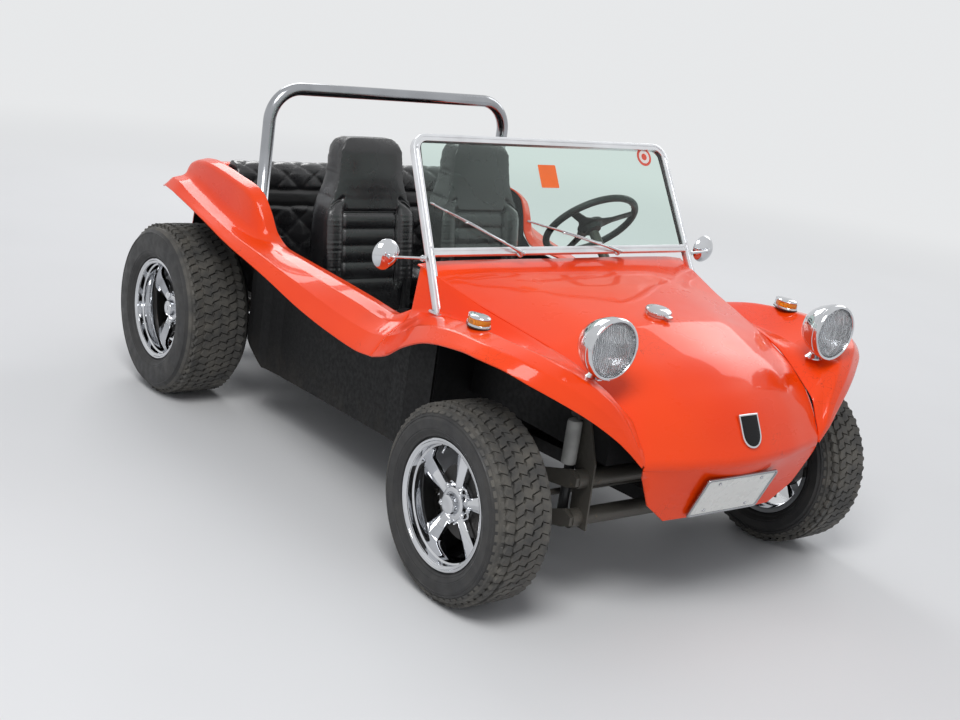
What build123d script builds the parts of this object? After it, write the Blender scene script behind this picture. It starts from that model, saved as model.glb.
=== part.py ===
import os
from math import atan2, cos, degrees, hypot, pi, radians, sin, tan

from build123d import *

os.makedirs("parts", exist_ok=True)

# Dune buggy on a shortened air-cooled floor pan, standing on its four tyres.
# All lengths are in millimetres. The nose points along -Y and +Z is up.
# Columns named "aft" are measured back from the front axle.

# Main sizes
wheelbase = 2032.0
nose_overhang = 480.0
tail_overhang = 620.0
skin = 6.0
panel_gap = 0.5
seat_gap = 0.3
front_axle = nose_overhang - (nose_overhang + wheelbase + tail_overhang) / 2
rear_axle = front_axle + wheelbase

# Wheels and tyres
front_tyre_radius = 316.0
front_tyre_width = 225.0
front_wheel_offset = 730.0
rear_tyre_radius = 350.0
rear_tyre_width = 290.0
rear_wheel_offset = 733.0
rim_flange_radius = 207.0
rim_seat_radius = 190.0
rim_wall = 7.0
front_rim_width = 160.0
rear_rim_width = 215.0
hub_radius = 52.0
cap_radius = 33.0
cap_height = 26.0
spoke_count = 5
spoke_root_width = 62.0
spoke_tip_width = 34.0
spoke_depth = 24.0

# Body lines
nose_half_width = 395.0
nose_corner_aft = -403.0
cowl_aft = 560.0
hood_flare = 0.2253
nose_edge_height = 560.0
nose_lip_height = 535.0
nose_foot_height = 340.0
nose_foot_half_width = 330.0
nose_foot_corner_aft = -365.0
nose_foot_centre_aft = -380.0
nose_corner_rise = 66.0


def aft(distance):
    return front_axle + distance


def hood_half_width(distance):
    return nose_half_width + (distance - nose_corner_aft) * hood_flare


# A copy of an open path of corners, moved to its right by a distance.
def mitred_copy(points, distance):
    copy = []
    last = len(points) - 1
    for index, point in enumerate(points):
        before = points[max(index - 1, 0)]
        after = points[min(index + 1, last)]
        ahead = before if index == last else point
        behind = point if index == last else after
        angle_out = atan2(behind[1] - ahead[1], behind[0] - ahead[0])
        angle_in = angle_out
        if 0 < index < last:
            angle_in = atan2(point[1] - before[1], point[0] - before[0])
        middle = (angle_in + angle_out) / 2
        if abs(angle_in - angle_out) > pi:
            middle += pi
        reach = distance / cos(middle - angle_out)
        copy.append((point[0] + reach * sin(middle), point[1] - reach * cos(middle)))
    return copy


# A thin closed section of the body skin, drawn along its outer face.
def skin_section(plane, points, radii, plumb=False):
    under = mitred_copy(points, skin)
    if plumb:
        fall = (under[1][1] - under[0][1]) / (under[1][0] - under[0][0])
        under[0] = (points[0][0], under[0][1] + fall * (points[0][0] - under[0][0]))
    with BuildSketch(plane) as section:
        with BuildLine():
            outer_face = FilletPolyline(*points, radius=radii)
            inner_face = FilletPolyline(*under, radius=radii)
            Line(outer_face @ 0, inner_face @ 0)
            Line(outer_face @ 1, inner_face @ 1)
        make_face()
    return section.sketch


# Columns of the hood: share of the half width, then aft and height of each corner
# from the cowl down to the lip under the nose.
hood_lines = [
    (0.0, [(575, 929), (300, 906), (0, 868), (-250, 800), (-400, 705), (-480, 560), (-470, 535)]),
    (0.5, [(575, 930), (300, 898), (0, 852), (-235, 785), (-380, 697), (-459, 560), (-450, 535)]),
    (0.85, [(575, 928), (300, 872), (0, 818), (-200, 763), (-345, 682), (-423, 560), (-416, 535)]),
    (1.0, [(575, 920), (300, 856), (0, 802), (-180, 752), (-325, 674), (-403, 560), (-398, 535)]),
]
hood_radii = [400, 500, 420, 260, 42]

# Columns of a wing: inner aft, inner half width, lip aft, lip half width, then the
# inner height, shoulder step and height, crown set-in and height, crease set-in and
# height, lip height, and the share of the full bend radii.
front_wing_lines = [
    (-398, 396.1, -390, 456, 570, 16, 584, 28, 602, 12, 606, 594, 0.1),
    (-370, 402.5, -373, 498, 617, 25, 632, 45, 662, 16, 660, 630, 0.3),
    (-330, 411.5, -333, 590, 674, 45, 706, 75, 744, 24, 734, 692, 0.6),
    (-270, 425.0, -281, 680, 706, 60, 756, 95, 796, 32, 784, 741, 0.9),
    (-190, 443.0, -229, 750, 746, 70, 784, 115, 828, 38, 816, 777, 1.0),
    (-90, 465.6, -150, 800, 784, 75, 792, 122, 848, 42, 838, 805, 1.0),
    (30, 492.6, -40, 828, 806, 70, 790, 126, 854, 44, 843, 813, 1.0),
    (150, 519.7, 80, 826, 827, 55, 786, 130, 850, 45, 838, 800, 1.0),
    (270, 546.7, 200, 820, 848, 45, 786, 132, 836, 46, 820, 775, 1.0),
    (380, 571.5, 325, 812, 874, 30, 786, 134, 806, 48, 782, 722, 1.0),
    (480, 594.0, 440, 797, 898, 20, 782, 135, 766, 52, 722, 655, 0.9),
    (560, 612.0, 530, 786, 916, 16, 768, 132, 728, 54, 684, 622, 0.8),
]
rear_wing_lines = [
    (560.5, 612.0, 530, 786, 770, 16, 768, 132, 728, 54, 684, 622, 0.8),
    (660, 602.0, 650, 781, 724, 32, 726, 112, 706, 50, 668, 609, 0.8),
    (820, 600.0, 820, 780, 731, 32, 734, 108, 716, 48, 673, 617, 0.8),
    (1020, 600.0, 1020, 781, 738, 32, 741, 106, 726, 46, 692, 638, 0.8),
    (1280, 600.0, 1270, 786, 744, 32, 748, 106, 740, 44, 722, 684, 0.8),
    (1440, 600.0, 1430, 794, 749, 34, 756, 108, 756, 44, 745, 714, 0.8),
    (1520, 612.0, 1520, 799, 790, 38, 788, 112, 766, 44, 756, 730, 0.8),
    (1560, 627.0, 1570, 801, 866, 42, 850, 112, 772, 44, 762, 740, 0.8),
    (1610, 638.0, 1630, 803, 926, 46, 905, 110, 782, 44, 771, 752, 0.8),
    (1680, 641.0, 1710, 804, 948, 48, 930, 108, 800, 42, 786, 770, 0.9),
    (1780, 641.0, 1810, 803, 957, 48, 942, 106, 822, 40, 804, 789, 0.9),
    (1900, 639.0, 1930, 800, 968, 48, 954, 104, 846, 38, 826, 808, 0.9),
    (2020, 634.0, 2040, 795, 974, 48, 960, 100, 866, 36, 846, 822, 0.9),
    (2120, 629.0, 2130, 786, 964, 46, 952, 96, 878, 34, 862, 829, 0.9),
    (2200, 624.0, 2205, 774, 940, 44, 930, 92, 878, 32, 864, 829, 0.9),
    (2262, 620.0, 2262, 758, 868, 42, 862, 88, 846, 30, 838, 818, 0.7),
]
shoulder_bend = 26.0
crown_bend = 44.0
crease_bend = 20.0


def wing_section(line, side):
    (inner_aft, inner_x, lip_aft, lip_x, inner_z, step, shoulder_z,
     crown_in, crown_z, crease_in, crease_z, lip_z, share) = line
    across = lip_x - inner_x
    along = lip_aft - inner_aft
    reach = hypot(across, along)
    inward = Vector(side * across / reach, along / reach, 0)
    corners = [
        (0, inner_z),
        (step, shoulder_z),
        (reach - crown_in, crown_z),
        (reach - crease_in, crease_z),
        (reach, lip_z),
    ]
    radii = [shoulder_bend * share, crown_bend * share, crease_bend * share]
    normal = inward.cross(Vector(0, 0, 1))
    plane = Plane(origin=(side * inner_x, aft(inner_aft), 0), x_dir=inward, z_dir=normal)
    return skin_section(plane, corners, radii, plumb=True)


def hood_section(share, side, corners):
    slope = side * share * hood_flare
    stretch = hypot(1, slope)
    start = side * share * (hood_half_width(0) - panel_gap)
    direction = Vector(-slope, -1, 0)
    normal = direction.cross(Vector(0, 0, 1))
    plane = Plane(origin=(start, aft(0), 0), x_dir=direction, z_dir=normal)
    local = [(-distance * stretch, height) for distance, height in corners]
    return skin_section(plane, local, hood_radii)

# A node is written as one STEP file under its own name.
def keep(piece, name):
    piece.part.label = name
    export_step(piece.part, "parts/" + name + ".step")


# The mirror image of a left-hand piece, across the car's middle plane.
def keep_pair(piece, name):
    keep(piece, name + "_left")
    with BuildPart() as twin:
        mirror(piece.part, about=Plane.YZ)
    keep(twin, name + "_right")


# A flat outline in the car's side view, as a plate between two widths.
def side_plate(outline, start, end):
    corners = [(aft(distance), height) for distance, height in outline]
    with BuildPart() as plate:
        with BuildSketch(Plane.YZ.offset(start)):
            with BuildLine():
                Polyline(*corners, close=True)
            make_face()
        extrude(amount=end - start)
    return plate.part


def rod(start, end, radius):
    start = Vector(*start)
    end = Vector(*end)
    with BuildPart() as bar:
        with BuildSketch(Plane(origin=start, z_dir=end - start)):
            Circle(radius)
        extrude(amount=(end - start).length)
    return bar.part


def block(x_range, y_range, z_range):
    with BuildPart() as solid:
        with BuildSketch(Plane.XY.offset(z_range[0])):
            with BuildLine():
                Polyline(
                    (x_range[0], y_range[0]),
                    (x_range[1], y_range[0]),
                    (x_range[1], y_range[1]),
                    (x_range[0], y_range[1]),
                    close=True,
                )
            make_face()
        extrude(amount=z_range[1] - z_range[0])
    return solid.part


hood_sections = [hood_section(share, -1, corners) for share, corners in reversed(hood_lines[1:])]
hood_sections += [hood_section(share, 1, corners) for share, corners in hood_lines]
with BuildPart() as hood:
    loft(hood_sections)
keep(hood, "hood")

with BuildPart() as front_wing:
    loft([wing_section(line, 1) for line in front_wing_lines])
keep_pair(front_wing, "front_wing")
with BuildPart() as rear_wing:
    loft([wing_section(line, 1) for line in rear_wing_lines])
keep_pair(rear_wing, "rear_wing")

# Nose panel below the hood's front edge
nose_top = nose_lip_height - panel_gap


def nose_strip(height, half_width, corner_aft, apex_aft):
    rows = [(half_width, aft(corner_aft)), (0, aft(apex_aft)), (-half_width, aft(corner_aft))]
    with BuildSketch(Plane.XY.offset(height)) as strip:
        with BuildLine():
            outer = FilletPolyline(*rows, radius=900)
            inner = FilletPolyline(*mitred_copy(rows, skin), radius=900)
            Line(outer @ 0, inner @ 0)
            Line(outer @ 1, inner @ 1)
        make_face()
    return strip.sketch


with BuildPart() as nose_panel:
    loft([
        nose_strip(nose_top, nose_half_width, nose_corner_aft + 5, -nose_overhang - 6),
        nose_strip(nose_foot_height, nose_half_width - 45, nose_foot_corner_aft, nose_foot_centre_aft),
    ], ruled=True)
    with BuildSketch(Plane.XZ.offset(-aft(0))) as nose_front:
        with BuildLine():
            Polyline(
                (-nose_half_width - skin, nose_top + skin),
                (nose_half_width + skin, nose_top + skin),
                (nose_half_width - 4, nose_top - 20),
                (nose_foot_half_width, nose_foot_height + nose_corner_rise),
                (nose_foot_half_width - 90, nose_foot_height),
                (-nose_foot_half_width + 90, nose_foot_height),
                (-nose_foot_half_width, nose_foot_height + nose_corner_rise),
                (-nose_half_width + 4, nose_top - 20),
                close=True,
            )
        make_face()
    extrude(nose_front.sketch, amount=2 * nose_overhang, mode=Mode.INTERSECT)
keep(nose_panel, "nose_panel")

# Floor, tub and bulkheads
tub_half_width = 600.0
floor_front_height = 283.0
floor_height = 240.0
floor_bend_aft = 1429.0
floor_end_aft = 1540.0
bulkhead_aft = 430.0
bulkhead_height = 756.0
shelf_height = 754.0
well_half_width = 550.0
well_front_aft = 1640.0
seat_step_height = 474.0
seat_back_foot_aft = 1950.0
seat_back_top_aft = 1992.0
seat_back_top_height = 925.0
tunnel_half_width = 62.0
tunnel_height = 120.0
head_front_half_width = 105.0
head_end_half_width = 160.0
head_foot = 290.0
head_depth = 46.0
tail_aft = 2262.0
well_end_aft = 2226.0
tub_inner = tub_half_width - 3.0 - skin

# The tub's side follows the inner edge of the wing above it.
rim_drop = 8.0
rim_tuck = 3.0
tub_plan = [(tub_half_width, bulkhead_aft)] + [(line[1], line[0]) for line in rear_wing_lines]
tub_plan = [(width - rim_tuck, aft(distance)) for width, distance in tub_plan]
tub_dip = [(630, 717), (605, 724), (585, 735), (570, 747)]
tub_top = [(line[0], line[4] - skin - rim_drop) for line in reversed(rear_wing_lines)]
tub_top = tub_top[:-1] + tub_dip + tub_top[-1:]
with BuildPart() as tub_side:
    with BuildSketch(Plane.XY.offset(floor_height)):
        with BuildLine():
            strip_out = Polyline(*tub_plan)
            strip_in = Polyline(*mitred_copy(tub_plan, -skin))
            Line(strip_out @ 0, strip_in @ 0)
            Line(strip_out @ 1, strip_in @ 1)
        make_face()
    extrude(amount=nose_edge_height + floor_height)
    add(side_plate([
        (bulkhead_aft, floor_front_height),
        (floor_bend_aft, floor_height),
        (floor_end_aft, floor_height),
        (well_front_aft, floor_height + 90),
        (well_front_aft, shelf_height),
        (tail_aft, shelf_height),
    ] + tub_top + [(bulkhead_aft, bulkhead_height)], 0, tub_half_width + 60), mode=Mode.INTERSECT)
    add(block(
        (well_half_width, rear_wing_lines[-2][1] - 2),
        (aft(well_front_aft - 60), aft(well_end_aft)),
        (shelf_height, shelf_height + skin),
    ))
    add(block(
        (well_half_width - skin, well_half_width),
        (aft(well_front_aft), aft(well_end_aft)),
        (seat_step_height, shelf_height + skin),
    ))
    add(block(
        (well_half_width - skin, tub_half_width - 1),
        (aft(well_front_aft - skin), aft(well_front_aft)),
        (seat_step_height, shelf_height + skin),
    ))
keep_pair(tub_side, "tub_side")

well_gap = well_half_width - skin - panel_gap
with BuildPart() as rear_floor:
    add(side_plate([
        (floor_end_aft, floor_height),
        (floor_end_aft + skin, floor_height),
        (floor_end_aft + skin, seat_step_height),
        (seat_back_foot_aft + skin, seat_step_height),
        (seat_back_top_aft + skin, seat_back_top_height),
        (seat_back_top_aft, seat_back_top_height),
        (seat_back_foot_aft, seat_step_height + skin),
        (floor_end_aft, seat_step_height + skin),
    ], -well_gap, well_gap))
keep(rear_floor, "rear_floor")

# Deck behind the rear bench, between the two wings
deck_half_width = rear_wing_lines[-1][1] - skin - 2
with BuildPart() as rear_deck:
    deck_line = [(1999, 926), (2060, 962), (2150, 946), (2236, 820), (2262, 640)]
    deck_face = [(aft(distance), height) for distance, height in deck_line]
    with BuildSketch(Plane.YZ.offset(-deck_half_width)):
        with BuildLine():
            deck_out = FilletPolyline(*deck_face, radius=[50, 60, 90])
            deck_in = FilletPolyline(*mitred_copy(deck_face, skin), radius=[50, 60, 90])
            Line(deck_out @ 0, deck_in @ 0)
            Line(deck_out @ 1, deck_in @ 1)
        make_face()
    extrude(amount=2 * deck_half_width)
    for start in (-deck_half_width, deck_half_width - skin):
        add(side_plate([
            (2140, shelf_height + skin + 1),
            (2248, shelf_height + skin + 1),
            (2240, 820),
            (2200, 925),
            (2140, 946),
        ], start, start + skin))
keep(rear_deck, "rear_deck")

# Front luggage tub under the hood
trunk_half_width = 436.0
trunk_front_aft = -280.0
trunk_floor_height = 510.0
trunk_top = [(bulkhead_aft - skin - panel_gap, 850), (0, 775), (-200, 710), (trunk_front_aft, 655)]
with BuildPart() as trunk_tub:
    for start in (-trunk_half_width, trunk_half_width - skin):
        add(side_plate(
            [(trunk_front_aft, trunk_floor_height)]
            + [(trunk_top[0][0], trunk_floor_height)] + trunk_top, start, start + skin))
    add(block(
        (-trunk_half_width, trunk_half_width),
        (aft(trunk_front_aft), aft(trunk_top[0][0])),
        (trunk_floor_height, trunk_floor_height + skin),
    ))
    add(block(
        (-trunk_half_width, trunk_half_width),
        (aft(trunk_front_aft), aft(trunk_front_aft) + skin),
        (trunk_floor_height, trunk_top[-1][1]),
    ))
keep(trunk_tub, "trunk_tub")

# Dashboard
dash_aft = 545.0
dash_foot_height = 776.0
cowl_drop = 20.4
dash_top_height = hood_lines[0][1][0][1] - cowl_drop
column_rake = 43.0
wheel_centre = (322.0, aft(790), 998.0)
column_radius = 19.0
with BuildPart() as dashboard:
    with BuildSketch(Plane.YZ.offset(-tub_inner)):
        dash_line = [
            (aft(dash_aft), dash_top_height),
            (aft(dash_aft + 14), dash_top_height),
            (aft(dash_aft + 10), dash_foot_height + 20),
            (aft(dash_aft - 30), dash_foot_height),
            (aft(dash_aft - 30), dash_foot_height + skin),
            (aft(dash_aft), dash_foot_height + 24),
        ]
        with BuildLine():
            Polyline(*dash_line, close=True)
        make_face()
    extrude(amount=2 * tub_inner)
    column_way = (0, -cos(radians(column_rake)), -sin(radians(column_rake)))
    add(rod(wheel_centre, Vector(*wheel_centre) + 700 * Vector(*column_way), column_radius + 4),
        mode=Mode.SUBTRACT)
keep(dashboard, "dashboard")

# Windshield
shield_foot_aft = 536.0
shield_seat = 46.4
shield_foot_height = dash_top_height + shield_seat
shield_top_aft = 754.0
shield_height = 367.0
shield_top_height = shield_foot_height + shield_height
shield_post_length = 155.0
shield_foot_half_width = 616.0
shield_top_half_width = 590.0
shield_tube = 26.0
glass_thickness = 5.0
shield_rise = hypot(shield_top_aft - shield_foot_aft, shield_top_height - shield_foot_height)
shield_plane = Plane(
    origin=(0, aft(shield_foot_aft), shield_foot_height),
    x_dir=(1, 0, 0),
    z_dir=(0, -(shield_top_height - shield_foot_height), shield_top_aft - shield_foot_aft),
)


def shield_outline(inset, foot_radius, top_radius):
    with BuildSketch(shield_plane) as outline:
        with BuildLine():
            FilletPolyline(
                (-shield_foot_half_width + inset, -shield_tube / 2 + inset),
                (-shield_top_half_width + inset, shield_rise + shield_tube / 2 - inset),
                (shield_top_half_width - inset, shield_rise + shield_tube / 2 - inset),
                (shield_foot_half_width - inset, -shield_tube / 2 + inset),
                radius=[foot_radius, top_radius, top_radius, foot_radius],
                close=True,
            )
        make_face()
    return outline.sketch


with BuildPart() as windshield_frame:
    add(extrude(shield_outline(0, 26, 62), amount=shield_tube / 2, both=True))
    fillet(edges(), 7)
    add(extrude(shield_outline(shield_tube, 8, 40), amount=shield_tube, both=True), mode=Mode.SUBTRACT)
    for side in (-1, 1):
        post_x = side * (shield_foot_half_width + 8)
        add(side_plate([
            (shield_foot_aft - 16, shield_foot_height + 30),
            (shield_foot_aft + 20, shield_foot_height + 30),
            (shield_foot_aft - 26, shield_foot_height - shield_post_length),
            (shield_foot_aft - 62, shield_foot_height - shield_post_length),
        ], post_x - 4, post_x + 4))
        add(rod(
            (side * (shield_foot_half_width - 8), aft(shield_foot_aft), shield_foot_height),
            (post_x, aft(shield_foot_aft), shield_foot_height),
            9,
        ))
keep(windshield_frame, "windshield_frame")
with BuildPart() as windshield_glass:
    add(extrude(shield_outline(shield_tube + seat_gap, 8, 40), amount=glass_thickness / 2, both=True))
keep(windshield_glass, "windshield_glass")

# Roll bar on its two foot plates
hoop_half_width = 578.0
hoop_aft = 1737.0
hoop_height = 1320.0
hoop_tube_radius = 25.0
hoop_bend = 130.0
hoop_foot = shelf_height + skin
with BuildPart() as roll_bar:
    with BuildLine() as hoop_path:
        FilletPolyline(
            (-hoop_half_width, aft(hoop_aft), hoop_foot + 6),
            (-hoop_half_width, aft(hoop_aft), hoop_height),
            (hoop_half_width, aft(hoop_aft), hoop_height),
            (hoop_half_width, aft(hoop_aft), hoop_foot + 6),
            radius=hoop_bend,
        )
    with BuildSketch(Plane.XY.offset(hoop_foot + 6).move(Location((-hoop_half_width, aft(hoop_aft), 0)))):
        Circle(hoop_tube_radius)
    sweep(path=hoop_path.line)
    for side in (-1, 1):
        add(block(
            (side * (hoop_half_width + 4) - 29, side * (hoop_half_width + 4) + 29),
            (aft(hoop_aft - 45), aft(hoop_aft + 45)),
            (hoop_foot, hoop_foot + 8),
        ))
keep(roll_bar, "roll_bar")

# Bucket seats and the rear bench
seat_offset = 270.0
seat_half_width = 204.0
seat_frame_half_width = 150.0
seat_under_front = (945.0, 412.0)
seat_under_end = (1400.0, 372.0)
seat_frame_front_aft = 980.0
seat_frame_end_aft = 1340.0
bench_half_width = 536.0
bench_top_half_width = 618.0


# A soft piece: a rounded side view, cut to a rounded front view.
def cushion(side_view, side_radius, front_view, front_radius, centre):
    with BuildPart() as soft:
        with BuildSketch(Plane.YZ.offset(centre - 700)):
            with BuildLine():
                outline = [(aft(distance), height) for distance, height in side_view]
                FilletPolyline(*outline, radius=side_radius, close=True)
            make_face()
        extrude(amount=1400)
        with BuildSketch(Plane.XZ.offset(2000)) as front_face:
            with BuildLine():
                outline = [(centre + across, height) for across, height in front_view]
                FilletPolyline(*outline, radius=front_radius, close=True)
            make_face()
        extrude(front_face.sketch, amount=-4000, mode=Mode.INTERSECT)
    return soft.part


def even(rows):
    return rows + [(-across, height) for across, height in reversed(rows)]


def seat_under(distance):
    share = (distance - seat_under_front[0]) / (seat_under_end[0] - seat_under_front[0])
    return seat_under_front[1] + share * (seat_under_end[1] - seat_under_front[1])


with BuildPart() as seat_frames:
    for side in (-1, 1):
        front_edge = floor_height + skin + (floor_front_height - floor_height) * (
            (floor_bend_aft - seat_frame_front_aft) / (floor_bend_aft - bulkhead_aft))
        add(side_plate([
            (seat_frame_front_aft, front_edge + seat_gap),
            (seat_frame_end_aft, front_edge + seat_gap - (floor_front_height - floor_height) * (
                (seat_frame_end_aft - seat_frame_front_aft) / (floor_bend_aft - bulkhead_aft))),
            (seat_frame_end_aft, seat_under(seat_frame_end_aft) - seat_gap),
            (seat_frame_front_aft, seat_under(seat_frame_front_aft) - seat_gap),
        ], side * seat_offset - seat_frame_half_width, side * seat_offset + seat_frame_half_width))
keep(seat_frames, "seat_frames")

with BuildPart() as seat:
    add(cushion(
        [seat_under_front, (945, 530), (1010, 560), (1400, 500), seat_under_end],
        [36, 36, 50, 30, 30],
        even([(seat_half_width, 300), (seat_half_width, 580)]),
        34,
        seat_offset,
    ))
    add(cushion(
        [(1402, 400), (1340, 520), (1452, 1150), (1478, 1188), (1540, 1184), (1556, 1150), (1500, 420)],
        [20, 20, 30, 18, 24, 60, 30],
        even([(seat_half_width, 380), (seat_half_width, 950), (138, 1050), (116, 1200)]),
        [30, 70, 60, 46, 46, 60, 70, 30],
        seat_offset,
    ))
keep_pair(seat, "seat")
with BuildPart() as bench_seat:
    add(cushion(
        [(1590, 480.3), (1590, 575), (1640, 612), (1925, 570), (1920, 480.3)],
        [24, 40, 60, 20, 20],
        even([(bench_half_width, 400), (bench_half_width, 700)]),
        34,
        0,
    ))
    add(cushion(
        [(1944, 500), (1836, 590), (1884, 940), (1900, 985), (1960, 1000), (1994, 960), (1986, 925)],
        [10, 40, 60, 30, 30, 20, 10],
        even([
            (bench_half_width, 440),
            (bench_half_width, shelf_height + skin + 12),
            (bench_top_half_width, shelf_height + skin + 12),
            (bench_top_half_width, 1020),
        ]),
        [30, 10, 10, 40, 40, 10, 10, 30],
        0,
    ))
keep(bench_seat, "bench_seat")

# Front axle beam of two torsion tubes with shock towers
beam_aft = -200.0
beam_upper = 440.0
beam_lower = 310.0
beam_tube_radius = 28.0
tower_x = 437.0
tower_thickness = 6.0
tower_top = 660.0
kingpin_x = 560.0
kingpin_radius = 10.0
pin_gap = 0.3
arm_x = 480.0
arm_thickness = 15.0
eye_radius = 22.0
eye_thickness = 24.0
upper_eye = 390.0
lower_eye = 240.0
swing_gap = 5.0
shock_x = 462.0
shock_aft = -150.0
with BuildPart() as front_beam:
    for height in (beam_upper, beam_lower):
        add(rod((-tower_x, aft(beam_aft), height), (tower_x, aft(beam_aft), height), beam_tube_radius))
    for side in (-1, 1):
        start = side * (tower_x + tower_thickness / 2) - tower_thickness / 2
        add(side_plate([
            (beam_aft - 46, 280),
            (beam_aft + 36, 280),
            (beam_aft + 44, 480),
            (shock_aft + 26, tower_top),
            (shock_aft - 26, tower_top),
            (beam_aft - 40, 500),
        ], start, start + tower_thickness))
    add(side_plate([
        (beam_aft - 8, beam_lower),
        (beam_aft + 8, beam_lower),
        (beam_aft + 8, beam_upper),
        (beam_aft - 8, beam_upper),
    ], -70, 70))
keep(front_beam, "front_beam")

with BuildPart() as floor_pan:
    add(side_plate([
        (bulkhead_aft, floor_front_height),
        (floor_bend_aft, floor_height),
        (floor_end_aft, floor_height),
        (floor_end_aft, floor_height + skin),
        (floor_bend_aft, floor_height + skin),
        (bulkhead_aft, floor_front_height + skin),
    ], -tub_inner + panel_gap, tub_inner - panel_gap))
    add(side_plate([
        (bulkhead_aft - skin / 2, floor_front_height + skin / 2),
        (floor_bend_aft, floor_height + skin / 2),
        (floor_end_aft - panel_gap, floor_height + skin / 2),
        (floor_end_aft - panel_gap, floor_height + skin + tunnel_height),
        (floor_bend_aft, floor_height + skin + tunnel_height),
        (bulkhead_aft - skin / 2, floor_front_height + skin + tunnel_height),
    ], -tunnel_half_width, tunnel_half_width))
    tunnel_edges = edges().filter_by(Axis.Y)
    fillet(tunnel_edges.filter_by(lambda edge: edge.center().Z > floor_height + tunnel_height), 20)
    add(block(
        (-tub_inner + 1, tub_inner - 1),
        (aft(bulkhead_aft - skin), aft(bulkhead_aft)),
        (floor_front_height, bulkhead_height),
    ))
    with BuildSketch(Plane.XY.offset(head_foot)):
        with BuildLine():
            Polyline(
                (-head_front_half_width, aft(beam_aft + beam_tube_radius + pin_gap)),
                (head_front_half_width, aft(beam_aft + beam_tube_radius + pin_gap)),
                (head_end_half_width, aft(bulkhead_aft - skin / 2)),
                (-head_end_half_width, aft(bulkhead_aft - skin / 2)),
                close=True,
            )
        make_face()
    extrude(amount=head_depth)
    add(rod(wheel_centre, Vector(*wheel_centre) + 700 * Vector(*column_way), column_radius + 4),
        mode=Mode.SUBTRACT)
keep(floor_pan, "floor_pan")

with BuildPart() as front_arms:
    for side in (-1, 1):
        for tube, eye in ((beam_upper, upper_eye), (beam_lower, lower_eye)):
            plate_start = side * (arm_x + arm_thickness / 2) - arm_thickness / 2
            add(rod(
                (side * (tower_x + tower_thickness), aft(beam_aft), tube),
                (side * (arm_x + 1), aft(beam_aft), tube),
                beam_tube_radius + 2,
            ))
            add(side_plate([
                (beam_aft - 26, tube - 14),
                (beam_aft + 10, tube - 30),
                (20, eye - 12),
                (20, eye + 12),
                (beam_aft + 10, tube + 30),
                (beam_aft - 26, tube + 14),
            ], plate_start, plate_start + arm_thickness))
            with BuildSketch(Plane.XY.offset(eye - eye_thickness / 2)):
                with Locations((side * kingpin_x, aft(0))):
                    Circle(eye_radius)
                with Locations((side * (arm_x + kingpin_x) / 2, aft(0))):
                    Rectangle(kingpin_x - arm_x, 34)
            extrude(amount=eye_thickness)
        add(rod(
            (side * kingpin_x, aft(0), lower_eye - 40),
            (side * kingpin_x, aft(0), upper_eye + 40),
            kingpin_radius + pin_gap,
        ), mode=Mode.SUBTRACT)
keep(front_arms, "front_arms")

with BuildPart() as front_shocks:
    for side in (-1, 1):
        for low, high, radius in ((284, 470, 14), (430, 640, 17)):
            add(rod((side * shock_x, aft(shock_aft), low), (side * shock_x, aft(shock_aft), high), radius))
        for height in (284, 640):
            add(rod(
                (side * (tower_x + tower_thickness + pin_gap), aft(shock_aft), height),
                (side * (arm_x - pin_gap), aft(shock_aft), height),
                13,
            ))
keep(front_shocks, "front_shocks")

# Steered knuckles on their kingpins
front_centre = front_tyre_radius
backing_x = 655.0
backing_thickness = 8.0
backing_radius = 112.0
spindle_radius = 17.0
drum_inner_x = 668.0
drum_outer_x = 742.0
hub_end_x = 735.0
steering_arm_length = 110.0
steering_arm_height = 340.0
steering_arm_thickness = 12.0
tie_rod_radius = 10.0
tie_rod_height = steering_arm_height + steering_arm_thickness + pin_gap + tie_rod_radius
with BuildPart() as knuckle:
    add(rod((kingpin_x, aft(0), lower_eye - 12), (kingpin_x, aft(0), upper_eye + 12), kingpin_radius))
    add(rod(
        (kingpin_x, aft(0), lower_eye + eye_thickness / 2 + swing_gap),
        (kingpin_x, aft(0), upper_eye - eye_thickness / 2 - swing_gap),
        20,
    ))
    add(rod((kingpin_x, aft(0), front_centre), (backing_x + 1, aft(0), front_centre), 30))
    add(rod((backing_x, aft(0), front_centre), (backing_x + backing_thickness, aft(0), front_centre),
            backing_radius))
    add(rod((backing_x, aft(0), front_centre), (hub_end_x, aft(0), front_centre), spindle_radius))
    with BuildSketch(Plane.XY.offset(steering_arm_height)):
        with Locations((kingpin_x, aft(-steering_arm_length / 2))):
            Rectangle(26, steering_arm_length)
        with Locations((kingpin_x, aft(-steering_arm_length))):
            Circle(15)
    extrude(amount=steering_arm_thickness)
keep_pair(knuckle, "knuckle")

with BuildPart() as tie_rods:
    add(rod(
        (-kingpin_x, aft(-steering_arm_length), tie_rod_height),
        (kingpin_x, aft(-steering_arm_length), tie_rod_height),
        tie_rod_radius,
    ))
    for side in (-1, 1):
        add(rod(
            (side * (kingpin_x - 8), aft(-steering_arm_length), tie_rod_height),
            (side * (kingpin_x + 12), aft(-steering_arm_length), tie_rod_height),
            tie_rod_radius,
        ))
keep(tie_rods, "tie_rods")

# Wheels: a rim with five spokes, a brake drum behind it and a tyre around it
front_rim_half = 97.0
rear_rim_half = 125.0
spoke_plane = 25.0
bead_gap = 0.3
tread_share = 0.68


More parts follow.
